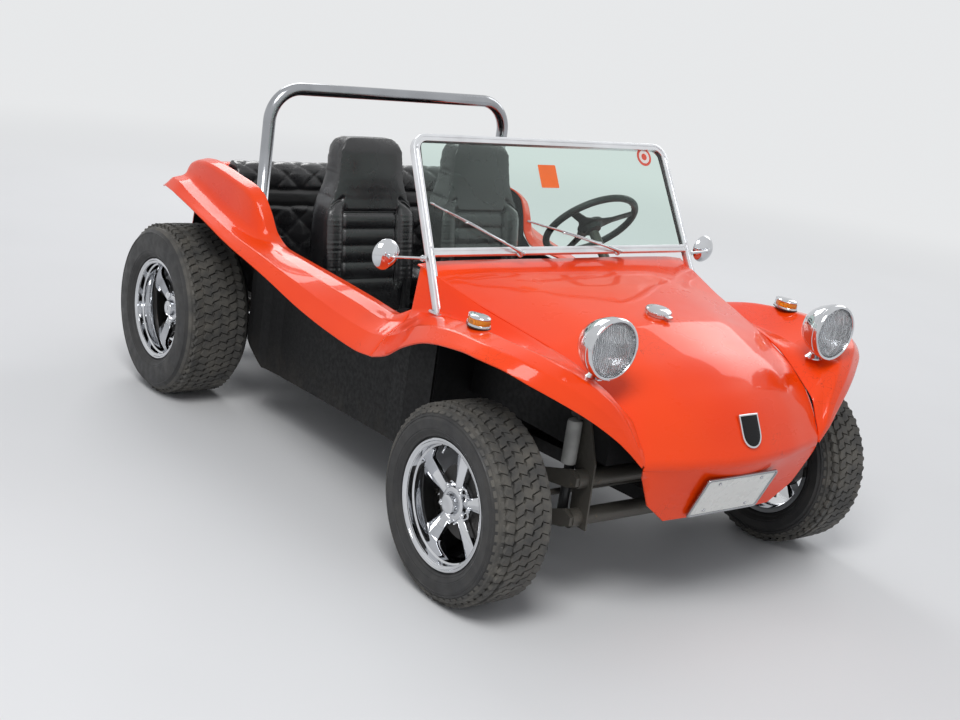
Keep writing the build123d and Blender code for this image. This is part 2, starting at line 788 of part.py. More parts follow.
def tyre_piece(radius, width, rim_half, centre_x, axle_y):
    middle = Plane(origin=(centre_x, axle_y, radius), x_dir=(1, 0, 0), z_dir=(0, -1, 0))
    bead = rim_half - 7
    half = width / 2
    tread = half * tread_share
    side_line = [
        (tread, radius - 6),
        (half - 13, radius - 30),
        (half, (rim_flange_radius + radius) / 2 + 8),
        (half - 8, rim_flange_radius + 20),
        (bead, rim_flange_radius + 3),
        (bead, rim_seat_radius + bead_gap),
    ]
    with BuildPart() as tyre:
        with BuildSketch(middle):
            with BuildLine():
                Polyline(
                    (0, radius),
                    *side_line,
                    *[(-across, height) for across, height in reversed(side_line)],
                    close=True,
                )
            make_face()
        revolve(axis=Axis((centre_x, axle_y, radius), (1, 0, 0)))
    return tyre


def rim_piece(radius, rim_half, centre_x, axle_y):
    middle = Plane(origin=(centre_x, axle_y, radius), x_dir=(1, 0, 0), z_dir=(0, -1, 0))
    with BuildPart() as rim:
        with BuildSketch(middle):
            with BuildLine():
                Polyline(
                    (-rim_half, rim_flange_radius),
                    (-rim_half + 5, rim_flange_radius),
                    (-rim_half + 6, rim_seat_radius),
                    (rim_half - 6, rim_seat_radius),
                    (rim_half - 5, rim_flange_radius),
                    (rim_half, rim_flange_radius),
                    (rim_half - 2, rim_seat_radius - rim_wall),
                    (rim_half - 26, rim_seat_radius - rim_wall - 6),
                    (-rim_half + 26, rim_seat_radius - rim_wall - 6),
                    (-rim_half + 2, rim_seat_radius - rim_wall),
                    close=True,
                )
            make_face()
        revolve(axis=Axis((centre_x, axle_y, radius), (1, 0, 0)))
        face_plane = Plane(
            origin=(centre_x + spoke_plane - spoke_depth / 2, axle_y, radius),
            x_dir=(0, 1, 0),
            z_dir=(1, 0, 0),
        )
        with BuildSketch(face_plane):
            Circle(hub_radius + 14)
            for index in range(spoke_count):
                with Locations(Rotation(0, 0, 90 + index * 360 / spoke_count)):
                    Polygon(
                        (0, -spoke_root_width / 2),
                        (rim_seat_radius - rim_wall + 2, -spoke_tip_width / 2),
                        (rim_seat_radius - rim_wall + 2, spoke_tip_width / 2),
                        (0, spoke_root_width / 2),
                        align=None,
                    )
        extrude(amount=spoke_depth)
        face = centre_x + spoke_plane + spoke_depth / 2
        add(rod((face - 1, axle_y, radius), (face + 12, axle_y, radius), hub_radius))
        add(rod((face, axle_y, radius), (face + 12 + cap_height, axle_y, radius), cap_radius))
        cap_edges = edges().filter_by(GeomType.CIRCLE).filter_by(lambda edge: edge.radius < cap_radius + 1)
        fillet(cap_edges.sort_by(Axis.X)[-1], 12)
        add(rod(
            (centre_x - rim_half, axle_y, radius),
            (hub_end_x + swing_gap, axle_y, radius),
            spindle_radius + pin_gap,
        ), mode=Mode.SUBTRACT)
    return rim


def drum_piece(radius, drum_radius, end_x, axle_y):
    with BuildPart() as drum:
        add(rod((drum_inner_x, axle_y, radius), (end_x, axle_y, radius), drum_radius))
        add(rod((drum_inner_x, axle_y, radius), (end_x, axle_y, radius), spindle_radius + pin_gap),
            mode=Mode.SUBTRACT)
    return drum


front_face = front_wheel_offset + spoke_plane - spoke_depth / 2
rear_face = rear_wheel_offset + spoke_plane - spoke_depth / 2
keep_pair(tyre_piece(front_tyre_radius, front_tyre_width, front_rim_half, front_wheel_offset, aft(0)),
          "front_tyre")
keep_pair(tyre_piece(rear_tyre_radius, rear_tyre_width, rear_rim_half, rear_wheel_offset, rear_axle),
          "rear_tyre")
keep_pair(rim_piece(front_tyre_radius, front_rim_half, front_wheel_offset, aft(0)), "front_rim")
keep_pair(rim_piece(rear_tyre_radius, rear_rim_half, rear_wheel_offset, rear_axle), "rear_rim")
keep_pair(drum_piece(front_tyre_radius, 120, front_face, aft(0)), "front_drum")
keep_pair(drum_piece(rear_tyre_radius, 126, rear_face, rear_axle), "rear_drum")

# Steering column, its gear box and the steering wheel
steering_rim_radius = 182.0
steering_rim_tube = 11.0
column_length = 640.0
wheel_up = -1 * Vector(*column_way)
with BuildPart() as steering_column:
    column_top = Vector(*wheel_centre) - 34 * wheel_up
    column_foot = Vector(*wheel_centre) - column_length * wheel_up
    add(rod(tuple(column_top), tuple(column_foot), column_radius))
    foot = (column_foot.X, column_foot.Y, trunk_floor_height + skin)
    add(rod(foot, (column_foot.X, column_foot.Y, column_foot.Z + 30), 42))
keep(steering_column, "steering_column")
with BuildPart() as steering_wheel:
    wheel_plane = Plane(origin=wheel_centre, x_dir=(1, 0, 0), z_dir=tuple(wheel_up))
    across_rim = tuple(wheel_up.cross(Vector(1, 0, 0)))
    with BuildSketch(Plane(origin=wheel_centre, x_dir=(1, 0, 0), z_dir=across_rim)):
        with Locations((steering_rim_radius, 0)):
            Circle(steering_rim_tube)
    revolve(axis=Axis(wheel_centre, tuple(wheel_up)))
    with BuildSketch(wheel_plane.offset(-26)):
        Circle(34)
    extrude(amount=34)
    with BuildSketch(wheel_plane.offset(-6)):
        for angle in (90, 210, 330):
            with Locations(Rotation(0, 0, angle)):
                Polygon((20, -15), (steering_rim_radius, -11), (steering_rim_radius, 11), (20, 15),
                        align=None)
    extrude(amount=7)
    hub_low = Vector(*wheel_centre) - (34 - pin_gap) * wheel_up
    add(rod(tuple(hub_low), wheel_centre, column_radius - 4))
keep(steering_wheel, "steering_wheel")

# Rear axle: transaxle, torsion tube, spring plates and axle tubes
rear_centre = rear_tyre_radius
torsion_aft = 1610.0
torsion_height = 335.0
torsion_radius = 32.0
torsion_end = 540.0
spring_plate_x = 545.0
spring_plate_thickness = 8.0
axle_tube_radius = 30.0
case_radius = 110.0
engine_front_aft = 2195.0
case_end_aft = engine_front_aft - seat_gap
with BuildPart() as transaxle:
    with BuildSketch(Plane(origin=(0, 0, rear_centre), x_dir=(0, 1, 0), z_dir=(1, 0, 0))):
        with BuildLine():
            case_line = [(1668, 0), (1668, 52), (1850, 66), (1940, 92), (1960, case_radius),
                         (2104, case_radius), (2120, 104), (2150, 150), (2178, 178),
                         (case_end_aft, 178), (case_end_aft, 0)]
            Polyline(*[(aft(distance), height) for distance, height in case_line], close=True)
        make_face()
    revolve(axis=Axis((0, 0, rear_centre), (0, 1, 0)))
    for side in (-1, 1):
        add(rod((side * 90, rear_axle, rear_centre), (side * 175, rear_axle, rear_centre), 84))
keep(transaxle, "transaxle")

with BuildPart() as rear_suspension:
    for side in (-1, 1):
        add(rod((side * (175 + pin_gap), rear_axle, rear_centre),
                (side * (backing_x + 1), rear_axle, rear_centre),
                axle_tube_radius))
        add(rod((side * (176 + pin_gap), rear_axle, rear_centre), (side * 230, rear_axle, rear_centre), 52))
        add(rod((side * backing_x, rear_axle, rear_centre),
                (side * (backing_x + backing_thickness), rear_axle, rear_centre), 122))
        add(rod((side * backing_x, rear_axle, rear_centre), (side * hub_end_x, rear_axle, rear_centre),
                spindle_radius))
        add(rod((side * (spring_plate_x + spring_plate_thickness + pin_gap), rear_axle, rear_centre),
                (side * (spring_plate_x + 24), rear_axle, rear_centre), 54))
    add(rod((-torsion_end, aft(torsion_aft), torsion_height),
            (torsion_end, aft(torsion_aft), torsion_height),
            torsion_radius))
    for side in (-1, 1):
        start = side * (spring_plate_x + spring_plate_thickness / 2) - spring_plate_thickness / 2
        add(rod((side * (torsion_end - 1), aft(torsion_aft), torsion_height),
                (side * spring_plate_x, aft(torsion_aft), torsion_height), 46))
        add(side_plate([
            (torsion_aft - 46, torsion_height - 40),
            (torsion_aft + 20, torsion_height - 46),
            (wheelbase - 60, rear_centre - 34),
            (wheelbase - 34, rear_centre - 34),
            (wheelbase - 34, rear_centre + 34),
            (wheelbase - 60, rear_centre + 34),
            (torsion_aft + 20, torsion_height + 46),
            (torsion_aft - 46, torsion_height + 40),
        ], start, start + spring_plate_thickness))
        add(side_plate([
            (torsion_aft - 30, torsion_height + 20),
            (torsion_aft + 30, torsion_height + 20),
            (torsion_aft + 30, seat_step_height - pin_gap),
            (torsion_aft - 30, seat_step_height - pin_gap),
        ], side * 300 - 6, side * 300 + 6))
    with BuildSketch(Plane.XZ.offset(-aft(1640))):
        with Locations((0, rear_centre)):
            Rectangle(180, 90)
    extrude(amount=-(28 - pin_gap))
keep(rear_suspension, "rear_suspension")

# Engine: four cylinders lying flat, under the cooling shroud
crank_height = 345.0
engine_end_aft = 2490.0
cylinder_radius = 58.0
cylinder_reach = 300.0
fin_count = 7
fin_thickness = 5.0
head_end = 372.0
shroud_half_width = 330.0
shroud_foot = 440.0
shroud_top = 752.0
shroud_front_aft = 2275.0
shroud_depth = 130.0
pulley_radius = 78.0
generator_height = 610.0
with BuildPart() as engine_block:
    with BuildSketch(Plane.XZ.offset(-aft(engine_front_aft))):
        with BuildLine():
            FilletPolyline(
                (-118, crank_height - 95),
                (-130, crank_height + 60),
                (-70, crank_height + 118),
                (70, crank_height + 118),
                (130, crank_height + 60),
                (118, crank_height - 95),
                radius=16,
                close=True,
            )
        make_face()
    extrude(amount=-(engine_end_aft - engine_front_aft))
    add(rod((0, aft(engine_front_aft + seat_gap), crank_height),
            (0, aft(engine_front_aft + 30), crank_height), 170))
    for side in (-1, 1):
        for along in (engine_front_aft + 75, engine_front_aft + 215):
            add(rod((side * 100, aft(along), crank_height),
                    (side * cylinder_reach, aft(along), crank_height),
                    cylinder_radius - 12))
            for index in range(fin_count):
                fin = 140 + index * (cylinder_reach - 150) / (fin_count - 1)
                add(rod((side * fin, aft(along), crank_height),
                        (side * (fin + fin_thickness), aft(along), crank_height),
                        cylinder_radius + 6))
        add(block(
            (min(side * cylinder_reach, side * head_end), max(side * cylinder_reach, side * head_end)),
            (aft(engine_front_aft + 8), aft(engine_end_aft - 12)),
            (crank_height - 62, crank_height + 66),
        ))
    add(rod((0, aft(engine_end_aft - 2), crank_height), (0, aft(engine_end_aft + 40), crank_height), 26))
    add(rod((0, aft(engine_end_aft + 30), crank_height), (0, aft(engine_end_aft + 52), crank_height),
            pulley_radius))
keep(engine_block, "engine_block")

with BuildPart() as fan_shroud:
    with BuildSketch(Plane.XZ.offset(-aft(shroud_front_aft))):
        with BuildLine():
            FilletPolyline(
                (-shroud_half_width, crank_height + 66 + seat_gap),
                (-shroud_half_width, shroud_foot + 50),
                (-190, 560),
                (-168, shroud_top),
                (168, shroud_top),
                (190, 560),
                (shroud_half_width, shroud_foot + 50),
                (shroud_half_width, crank_height + 66 + seat_gap),
                (136, crank_height + 66 + seat_gap),
                (120, shroud_foot + 30),
                (-120, shroud_foot + 30),
                (-136, crank_height + 66 + seat_gap),
                radius=[6, 40, 60, 110, 110, 60, 40, 6, 6, 6, 6, 6],
                close=True,
            )
        make_face()
    extrude(amount=-shroud_depth)
    add(rod((0, aft(shroud_front_aft + shroud_depth - 1), generator_height),
            (0, aft(shroud_front_aft + shroud_depth + 150), generator_height), 52))
    add(rod((0, aft(shroud_front_aft + shroud_depth + 149), generator_height),
            (0, aft(shroud_front_aft + shroud_depth + 175), generator_height), 60))
    add(block((-34, 34),
              (aft(shroud_front_aft + shroud_depth + 30), aft(shroud_front_aft + shroud_depth + 80)),
              (crank_height + 118 + seat_gap, generator_height - 40)))
keep(fan_shroud, "fan_shroud")

cleaner_centre = (-165.0, aft(2502), 640.0)
with BuildPart() as air_cleaner:
    add(rod(cleaner_centre, (cleaner_centre[0], cleaner_centre[1], cleaner_centre[2] + 70), 86))
    add(rod((cleaner_centre[0], cleaner_centre[1], 540), cleaner_centre, 30))
    add(rod((cleaner_centre[0], cleaner_centre[1], 548), (-60, aft(2450), crank_height + 146), 18))
    add(rod((-60, aft(2450), crank_height + 118 + seat_gap), (-60, aft(2450), crank_height + 160), 24))
keep(air_cleaner, "air_cleaner")

muffler_centre_aft = 2566.0
muffler_height = 212.0
muffler_radius = 54.0
tail_pipe_x = 210.0
tail_pipe_height = muffler_height - 30
tail_collar_aft = muffler_centre_aft + muffler_radius + 4
tail_collar_radius = 23.0
tail_pipe_radius = 17.0
tail_swage = 8.0


# A tail pipe turned about its own line: the collar, the swage and the pipe.
def tail_pipe(side):
    start = muffler_centre_aft
    collar_end = tail_collar_aft - tail_swage - start
    swage_end = tail_collar_aft - start
    pipe_end = wheelbase + tail_overhang - start
    origin = (side * tail_pipe_x, aft(start), tail_pipe_height)
    with BuildPart() as pipe:
        with BuildSketch(Plane(origin=origin, x_dir=(1, 0, 0), z_dir=(0, 0, 1))):
            Polygon((0, 0), (tail_collar_radius, 0), (tail_collar_radius, collar_end),
                    (tail_pipe_radius, swage_end), (tail_pipe_radius, pipe_end), (0, pipe_end),
                    align=None)
        revolve(axis=Axis(origin, (0, 1, 0)))
    return pipe.part


with BuildPart() as exhaust:
    add(rod((-300, aft(muffler_centre_aft), muffler_height), (300, aft(muffler_centre_aft), muffler_height),
            muffler_radius))
    for side in (-1, 1):
        add(rod((side * 260, aft(muffler_centre_aft), muffler_height),
                (side * 330, aft(2440), muffler_height), 17))
        add(rod((side * 330, aft(2452), muffler_height), (side * 330, aft(2280), muffler_height), 22))
        for along in (2300, 2430):
            add(rod((side * 330, aft(along), muffler_height),
                    (side * 330, aft(along), crank_height - 62 - seat_gap),
                    19))
        add(tail_pipe(side))
keep(exhaust, "exhaust")

# Lamps
lamp_x = 501.0
lamp_aft = -294.0
lamp_height = 888.0
lamp_radius = 92.0
lamp_depth = 120.0
lens_depth = 12.0
turn_x = 704.0
turn_aft = 92.0
turn_surface = 852.0
turn_half_width = 34.0
turn_front = 41.0
turn_tail = 58.0
turn_base_height = 9.0
turn_lens_inset = 3.0
turn_lens_height = 29.0


# The teardrop outline of a turn lamp: round in front and drawn out behind.
def turn_outline(side, rise, inset):
    half = turn_half_width - inset
    with BuildSketch(Plane(origin=(side * turn_x, aft(turn_aft), turn_surface + rise))) as teardrop:
        with BuildLine():
            ThreePointArc((-half, 0), (0, -turn_front + inset), (half, 0))
            Line((half, 0), (half * 0.30, turn_tail - inset))
            Line((half * 0.30, turn_tail - inset), (-half * 0.30, turn_tail - inset))
            Line((-half * 0.30, turn_tail - inset), (-half, 0))
        make_face()
    return teardrop.sketch


with BuildPart() as lamp_shells:
    for side in (-1, 1):
        with BuildSketch(Plane(origin=(side * lamp_x, 0, lamp_height), x_dir=(0, 1, 0), z_dir=(1, 0, 0))):
            with BuildLine():
                Polyline(
                    (aft(lamp_aft), 0),
                    (aft(lamp_aft), lamp_radius - 8),
                    (aft(lamp_aft) - 6, lamp_radius),
                    (aft(lamp_aft) + 26, lamp_radius + 2),
                )
                ThreePointArc(
                    (aft(lamp_aft) + 26, lamp_radius + 2),
                    (aft(lamp_aft) + 88, lamp_radius * 0.72),
                    (aft(lamp_aft) + lamp_depth, 0),
                )
                Line((aft(lamp_aft) + lamp_depth, 0), (aft(lamp_aft), 0))
            make_face()
        revolve(axis=Axis((side * lamp_x, 0, lamp_height), (0, 1, 0)))
        add(rod((side * lamp_x, aft(lamp_aft + 60), lamp_height - 60),
                (side * (lamp_x - 4), aft(lamp_aft + 66), 781), 13))
    for side in (-1, 1):
        extrude(turn_outline(side, 0, 0), amount=turn_base_height)
keep(lamp_shells, "lamp_shells")
with BuildPart() as headlamp_lenses:
    for side in (-1, 1):
        with BuildSketch(Plane(origin=(side * lamp_x, 0, lamp_height), x_dir=(0, 1, 0), z_dir=(1, 0, 0))):
            with BuildLine():
                Polyline(
                    (aft(lamp_aft) - seat_gap, 0),
                    (aft(lamp_aft) - seat_gap, lamp_radius - 9),
                    (aft(lamp_aft) - lens_depth * 0.45, lamp_radius - 16),
                    (aft(lamp_aft) - lens_depth * 0.85, lamp_radius * 0.48),
                    (aft(lamp_aft) - lens_depth, 0),
                    close=True,
                )
            make_face()
        revolve(axis=Axis((side * lamp_x, 0, lamp_height), (0, 1, 0)))
keep(headlamp_lenses, "headlamp_lenses")

with BuildPart() as turn_lenses:
    for side in (-1, 1):
        extrude(turn_outline(side, turn_base_height + seat_gap, turn_lens_inset), amount=turn_lens_height)
    fillet(edges().group_by(Axis.Z)[-1], 9)
keep(turn_lenses, "turn_lenses")

tail_lamp_x = 478.0
tail_lamp_height = 742.0
tail_lamp_radius = 40.0
tail_lamp_depth = 30.0
deck_slope = Vector(0, deck_line[-1][0] - deck_line[-2][0], deck_line[-1][1] - deck_line[-2][1]).normalized()
deck_out = Vector(0, -deck_slope.Z, deck_slope.Y)
with BuildPart() as tail_lamps:
    share = (tail_lamp_height - deck_line[-2][1]) / (deck_line[-1][1] - deck_line[-2][1])
    tail_face = deck_line[-2][0] + share * (deck_line[-1][0] - deck_line[-2][0])
    for side in (-1, 1):
        lamp_foot = Vector(side * tail_lamp_x, aft(tail_face), tail_lamp_height) + seat_gap * deck_out
        add(rod(tuple(lamp_foot), tuple(lamp_foot + tail_lamp_depth * deck_out), tail_lamp_radius))
    fillet(edges().filter_by(GeomType.CIRCLE).group_by(Axis.Y)[-1], 9)
keep(tail_lamps, "tail_lamps")

# Filler cap, badge plate and number plate
cap_aft = 44.0
cap_lid_radius = 40.0
cap_lid_height = 20.0
hood_spine = hood_lines[0][1]
cap_share = (cap_aft - hood_spine[2][0]) / (hood_spine[1][0] - hood_spine[2][0])
cap_foot = (0, aft(cap_aft), hood_spine[2][1] + cap_share * (hood_spine[1][1] - hood_spine[2][1]) + seat_gap)
cap_lean = (0, -(hood_spine[1][1] - hood_spine[2][1]), hood_spine[1][0] - hood_spine[2][0])
with BuildPart() as fuel_cap:
    with BuildSketch(Plane(origin=cap_foot, z_dir=cap_lean)):
        Circle(cap_lid_radius - 6)
    extrude(amount=cap_lid_height)
    with BuildSketch(Plane(origin=cap_foot, z_dir=cap_lean).offset(6)):
        Circle(cap_lid_radius)
    extrude(amount=cap_lid_height - 8)
keep(fuel_cap, "fuel_cap")

badge_width = 78.0
badge_height = 98.0
badge_thickness = 4.0
badge_share = 0.46
badge_foot = (
    0,
    aft(hood_spine[4][0] + badge_share * (hood_spine[5][0] - hood_spine[4][0])),
    hood_spine[4][1] + badge_share * (hood_spine[5][1] - hood_spine[4][1]),
)
badge_lean = Vector(0, hood_spine[5][1] - hood_spine[4][1], hood_spine[4][0] - hood_spine[5][0]).normalized()
with BuildPart() as nose_badge:
    badge_plane = Plane(origin=badge_foot, x_dir=(1, 0, 0), z_dir=tuple(badge_lean)).offset(panel_gap)
    with BuildSketch(badge_plane):
        with BuildLine():
            FilletPolyline(
                (-badge_width / 2, badge_height / 2),
                (badge_width / 2, badge_height / 2),
                (badge_width / 2 - 2, -badge_height / 6),
                (0, -badge_height / 2),
                (-badge_width / 2 + 2, -badge_height / 6),
                radius=[3, 3, 12, 2, 12],
                close=True,
            )
        make_face()
    extrude(amount=badge_thickness)
keep(nose_badge, "nose_badge")

plate_width = 310.0
plate_height = 158.0
plate_thickness = 3.0
plate_frame = 8.0
plate_centre_height = 424.0
nose_apex_aft = -463.8
panel_fall = Vector(0, nose_foot_centre_aft + 1 - nose_apex_aft, nose_foot_height - nose_top)
panel_out = Vector(0, panel_fall.Z, -panel_fall.Y).normalized()
plate_share = (nose_top - plate_centre_height) / (nose_top - nose_foot_height)
plate_seat = Vector(0, aft(nose_apex_aft), nose_top) + plate_share * panel_fall
with BuildPart() as number_plate:
    plate_origin = tuple(plate_seat + panel_gap * panel_out)
    plate_plane = Plane(origin=plate_origin, x_dir=(1, 0, 0), z_dir=tuple(panel_out))
    with BuildSketch(plate_plane):
        RectangleRounded(plate_width, plate_height, 10)
    extrude(amount=plate_thickness)
    with BuildSketch(plate_plane):
        RectangleRounded(plate_width, plate_height, 10)
        RectangleRounded(plate_width - 2 * plate_frame, plate_height - 2 * plate_frame, 6,
                         mode=Mode.SUBTRACT)
    extrude(amount=plate_thickness + 4)
keep(number_plate, "number_plate")

# Wipers on the lower rail, mirrors on the windshield posts
wiper_rows = [(-228, -34, -562, 184), (228, -34, -157, 120)]
wiper_lift = 7.0
with BuildPart() as wipers:
    for foot_x, foot_rise, tip_x, tip_rise in wiper_rows:
        foot = shield_plane.offset(shield_tube / 2 + seat_gap).from_local_coords(Vector(foot_x, 0, 0))
        spindle = shield_plane.offset(shield_tube / 2 + 16).from_local_coords(Vector(foot_x, 0, 0))
        add(rod(tuple(foot), tuple(spindle), 9))
        knee = shield_plane.offset(shield_tube / 2 + 12).from_local_coords(Vector(foot_x, 0, 0))
        middle = shield_plane.offset(glass_thickness / 2 + wiper_lift + 8).from_local_coords(
            Vector(foot_x + 0.55 * (tip_x - foot_x), 0.55 * tip_rise, 0))
        add(rod(tuple(knee), tuple(middle), 4))
        blade_start = shield_plane.offset(glass_thickness / 2 + 5).from_local_coords(
            Vector(foot_x + 0.12 * (tip_x - foot_x), 18 + 0.12 * tip_rise, 0))
        blade_plane = shield_plane.offset(glass_thickness / 2 + 5)
        blade_end = blade_plane.from_local_coords(Vector(tip_x, tip_rise, 0))
        add(rod(tuple(blade_start), tuple(blade_end), 4.5))
        add(rod(tuple(middle), tuple((blade_start + blade_end) * 0.5), 4))
keep(wipers, "wipers")

mirror_centre = (740.0, aft(584), shield_foot_height - 3)
mirror_radius = 52.0
mirror_depth = 24.0
with BuildPart() as mirror_piece:
    post_face = shield_foot_half_width + 12 + seat_gap
    add(rod((post_face, aft(shield_foot_aft), shield_foot_height - 6),
            (post_face + 14, aft(shield_foot_aft), shield_foot_height - 6), 11))
    add(rod((post_face + 8, aft(shield_foot_aft), shield_foot_height - 6),
            (mirror_centre[0], mirror_centre[1] - mirror_depth + 4, mirror_centre[2]), 5))
    with BuildSketch(Plane(origin=mirror_centre, x_dir=(1, 0, 0), z_dir=(0, -1, 0))):
        Circle(mirror_radius)
    extrude(amount=mirror_depth, taper=28)
keep_pair(mirror_piece, "mirror")

lever_aft = 930.0
lever_height = 560.0
with BuildPart() as gear_lever:
    tunnel_top = floor_front_height + skin + tunnel_height - (floor_front_height - floor_height) * (
        (lever_aft - bulkhead_aft) / (floor_bend_aft - bulkhead_aft))
    add(rod((0, aft(lever_aft), tunnel_top + 1.5), (0, aft(lever_aft), tunnel_top + 26), 30))
    add(rod((0, aft(lever_aft), tunnel_top + 20), (0, aft(lever_aft + 26), lever_height), 6))
    with Locations((0, aft(lever_aft + 26), lever_height)):
        Sphere(21)
keep(gear_lever, "gear_lever")
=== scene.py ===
import math
import bmesh
import bpy
from mathutils import Matrix, Vector


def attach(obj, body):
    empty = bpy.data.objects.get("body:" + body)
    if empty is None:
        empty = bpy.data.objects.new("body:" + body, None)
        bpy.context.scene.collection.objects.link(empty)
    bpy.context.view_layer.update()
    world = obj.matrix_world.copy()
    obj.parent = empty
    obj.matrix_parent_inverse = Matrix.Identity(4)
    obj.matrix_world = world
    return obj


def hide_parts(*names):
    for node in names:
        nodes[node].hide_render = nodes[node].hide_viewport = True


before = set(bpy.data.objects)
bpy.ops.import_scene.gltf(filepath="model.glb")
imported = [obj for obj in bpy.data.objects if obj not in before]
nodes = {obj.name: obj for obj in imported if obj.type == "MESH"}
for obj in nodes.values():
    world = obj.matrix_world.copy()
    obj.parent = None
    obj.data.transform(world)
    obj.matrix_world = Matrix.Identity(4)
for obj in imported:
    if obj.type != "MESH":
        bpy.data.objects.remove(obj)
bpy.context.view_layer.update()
print("frame loaded:", len(nodes), "nodes")

frontAxle = -1.086
hands = ((1, "Left"), (-1, "Right"))
leftWay, noseWay, tailWay, upWay = (1, 0, 0), (0, -1, 0), (0, 1, 0), (0, 0, 1)


def aft(distance):
    # metres behind the front axle, as a place along the car
    return frontAxle + distance


class Wire:
    # one shader socket; sums, products and powers of it add Math nodes
    def __init__(self, graph, socket):
        self.graph = graph
        self.socket = socket

    def maths(self, operation, other, clamp=False):
        settings = {"operation": operation, "use_clamp": clamp}
        return self.graph.node("ShaderNodeMath", settings, {0: self, 1: other})

    def __add__(self, other):
        return self.maths("ADD", other)

    def __mul__(self, other):
        return self.maths("MULTIPLY", other)

    def __pow__(self, other):
        return self.maths("POWER", other)


class Graph:
    # a node tree; a node is made with its settings and its sockets' values or wires
    def __init__(self, tree):
        self.tree = tree

    def node(self, kind, settings, sockets=None, output=0):
        made = self.tree.nodes.new(kind)
        for setting, value in settings.items():
            setattr(made, setting, value)
        for socket, value in (sockets or {}).items():
            if isinstance(value, Wire):
                self.tree.links.new(value.socket, made.inputs[socket])
            else:
                made.inputs[socket].default_value = value
        return Wire(self, made.outputs[output])

    def seenDirectly(self):
        # 1 for what the camera, metal and glass see, 0 for what only lights
        path = self.tree.nodes.new("ShaderNodeLightPath")
        kinds = ("Is Camera Ray", "Is Glossy Ray", "Is Transmission Ray")
        straight, glossy, through = (Wire(self, path.outputs[kind]) for kind in kinds)
        return straight.maths("ADD", glossy, True).maths("ADD", through, True)

    def mixed(self, outputName, share, first, second):
        # the shaders first and second, mixed on the tree's output
        mix = self.node("ShaderNodeMixShader", {}, {0: share, 1: first, 2: second})
        self.tree.links.new(mix.socket, self.tree.nodes[outputName].inputs[0])


class Finish(Graph):
    # a material: constants go on the shader, whatever varies comes through wires
    def __init__(self, name, colour, roughness, metallic=0.0, **constants):
        self.material = bpy.data.materials.new(name)
        self.material.use_nodes = True
        super().__init__(self.material.node_tree)
        self.shader = self.tree.nodes["Principled BSDF"]
        values = {"Base Color": (*colour, 1.0), "Roughness": roughness, "Metallic": metallic, **constants}
        for socketName, value in values.items():
            self.shader.inputs[socketName.replace("_", " ")].default_value = value
        self.material.diffuse_color = (*colour, 1.0)

    def place(self, scale=(1, 1, 1), shift=(0, 0, 0)):
        spot = self.node("ShaderNodeTexCoord", {}, output=3)
        return self.node("ShaderNodeMapping", {}, {"Vector": spot, "Scale": scale, "Location": shift})

    def noise(self, scale, detail=3.0, rough=0.5, spot=None, output=0):
        return self.node("ShaderNodeTexNoise", {}, {
            "Vector": spot or self.place(), "Scale": scale, "Detail": detail, "Roughness": rough}, output)

    def cells(self, scale, feature="F1", spot=None):
        sockets = {"Vector": spot or self.place(), "Scale": scale, "Randomness": 1.0}
        return self.node("ShaderNodeTexVoronoi", {"feature": feature}, sockets)

    def step(self, wire, low, high, start=0.0, end=1.0):
        # a smooth step of a value between two levels
        return self.node("ShaderNodeMapRange", {"interpolation_type": "SMOOTHSTEP"}, {
            "Value": wire, "From Min": low, "From Max": high, "To Min": start, "To Max": end})

    def blend(self, share, first, second):
        sockets = {0: share}
        for key, colour in ((6, first), (7, second)):
            sockets[key] = colour if isinstance(colour, Wire) else (*colour, 1.0)
        return self.node("ShaderNodeMix", {"data_type": "RGBA"}, sockets, output=2)

    def feed(self, socketName, wire):
        self.tree.links.new(wire.socket, self.shader.inputs[socketName])

    def bump(self, height, strength, distance):
        self.feed("Normal", self.node("ShaderNodeBump", {}, {
            "Height": height, "Strength": strength, "Distance": distance}))

    def worn(self, colour, roughness, *relief):
        # the usual three: colour, roughness and a bump of (height, strength, distance)
        self.feed("Base Color", colour)
        self.feed("Roughness", roughness)
        self.bump(*relief)
        return self.material


def shade(colour, factor):
    return tuple(min(1.0, value * factor) for value in colour)


# finishes, each with the wear and grain of the real surface; the lenses also carry painted shade along their
# flutes
def makePaint():
    colour, deep, darkLine = (0.95, 0.062, 0.003), (0.89, 0.047, 0.002), (0.25, 0.010, 0.004)
    made = Finish("glossPaint", colour, 0.36, Coat_Weight=0.48, Coat_Roughness=0.03, Specular_IOR_Level=0.1)
    tone = made.blend(made.step(made.noise(2.4, 2.0), 0.35, 0.75), colour, deep)
    # thin dark lines along warped cell edges, in scattered patches over the paint
    strayed = made.node("ShaderNodeVectorMath", {"operation": "ADD"}, {
        0: made.place(), 1: made.noise(9.0, 2.0, output=1)})
    cellEdges = made.cells(7.0, "DISTANCE_TO_EDGE", strayed)
    where = made.step(made.noise(3.1, 1.0, spot=made.place(shift=(4.0, 1.0, 2.0))), 0.60, 0.68)
    lines = made.step(cellEdges, 0.004, 0.010, 1.0, 0.0) * where
    smear = made.noise(5.0, 4.0, spot=made.place(scale=(1, 1, 2.5)))
    return made.worn(made.blend(lines * 0.55, tone, darkLine), made.step(smear, 0.3, 0.8, 0.26, 0.42),
                     made.noise(5.0, 1.0) + made.noise(60.0, 1.0) * 0.04, 0.08, 0.004)


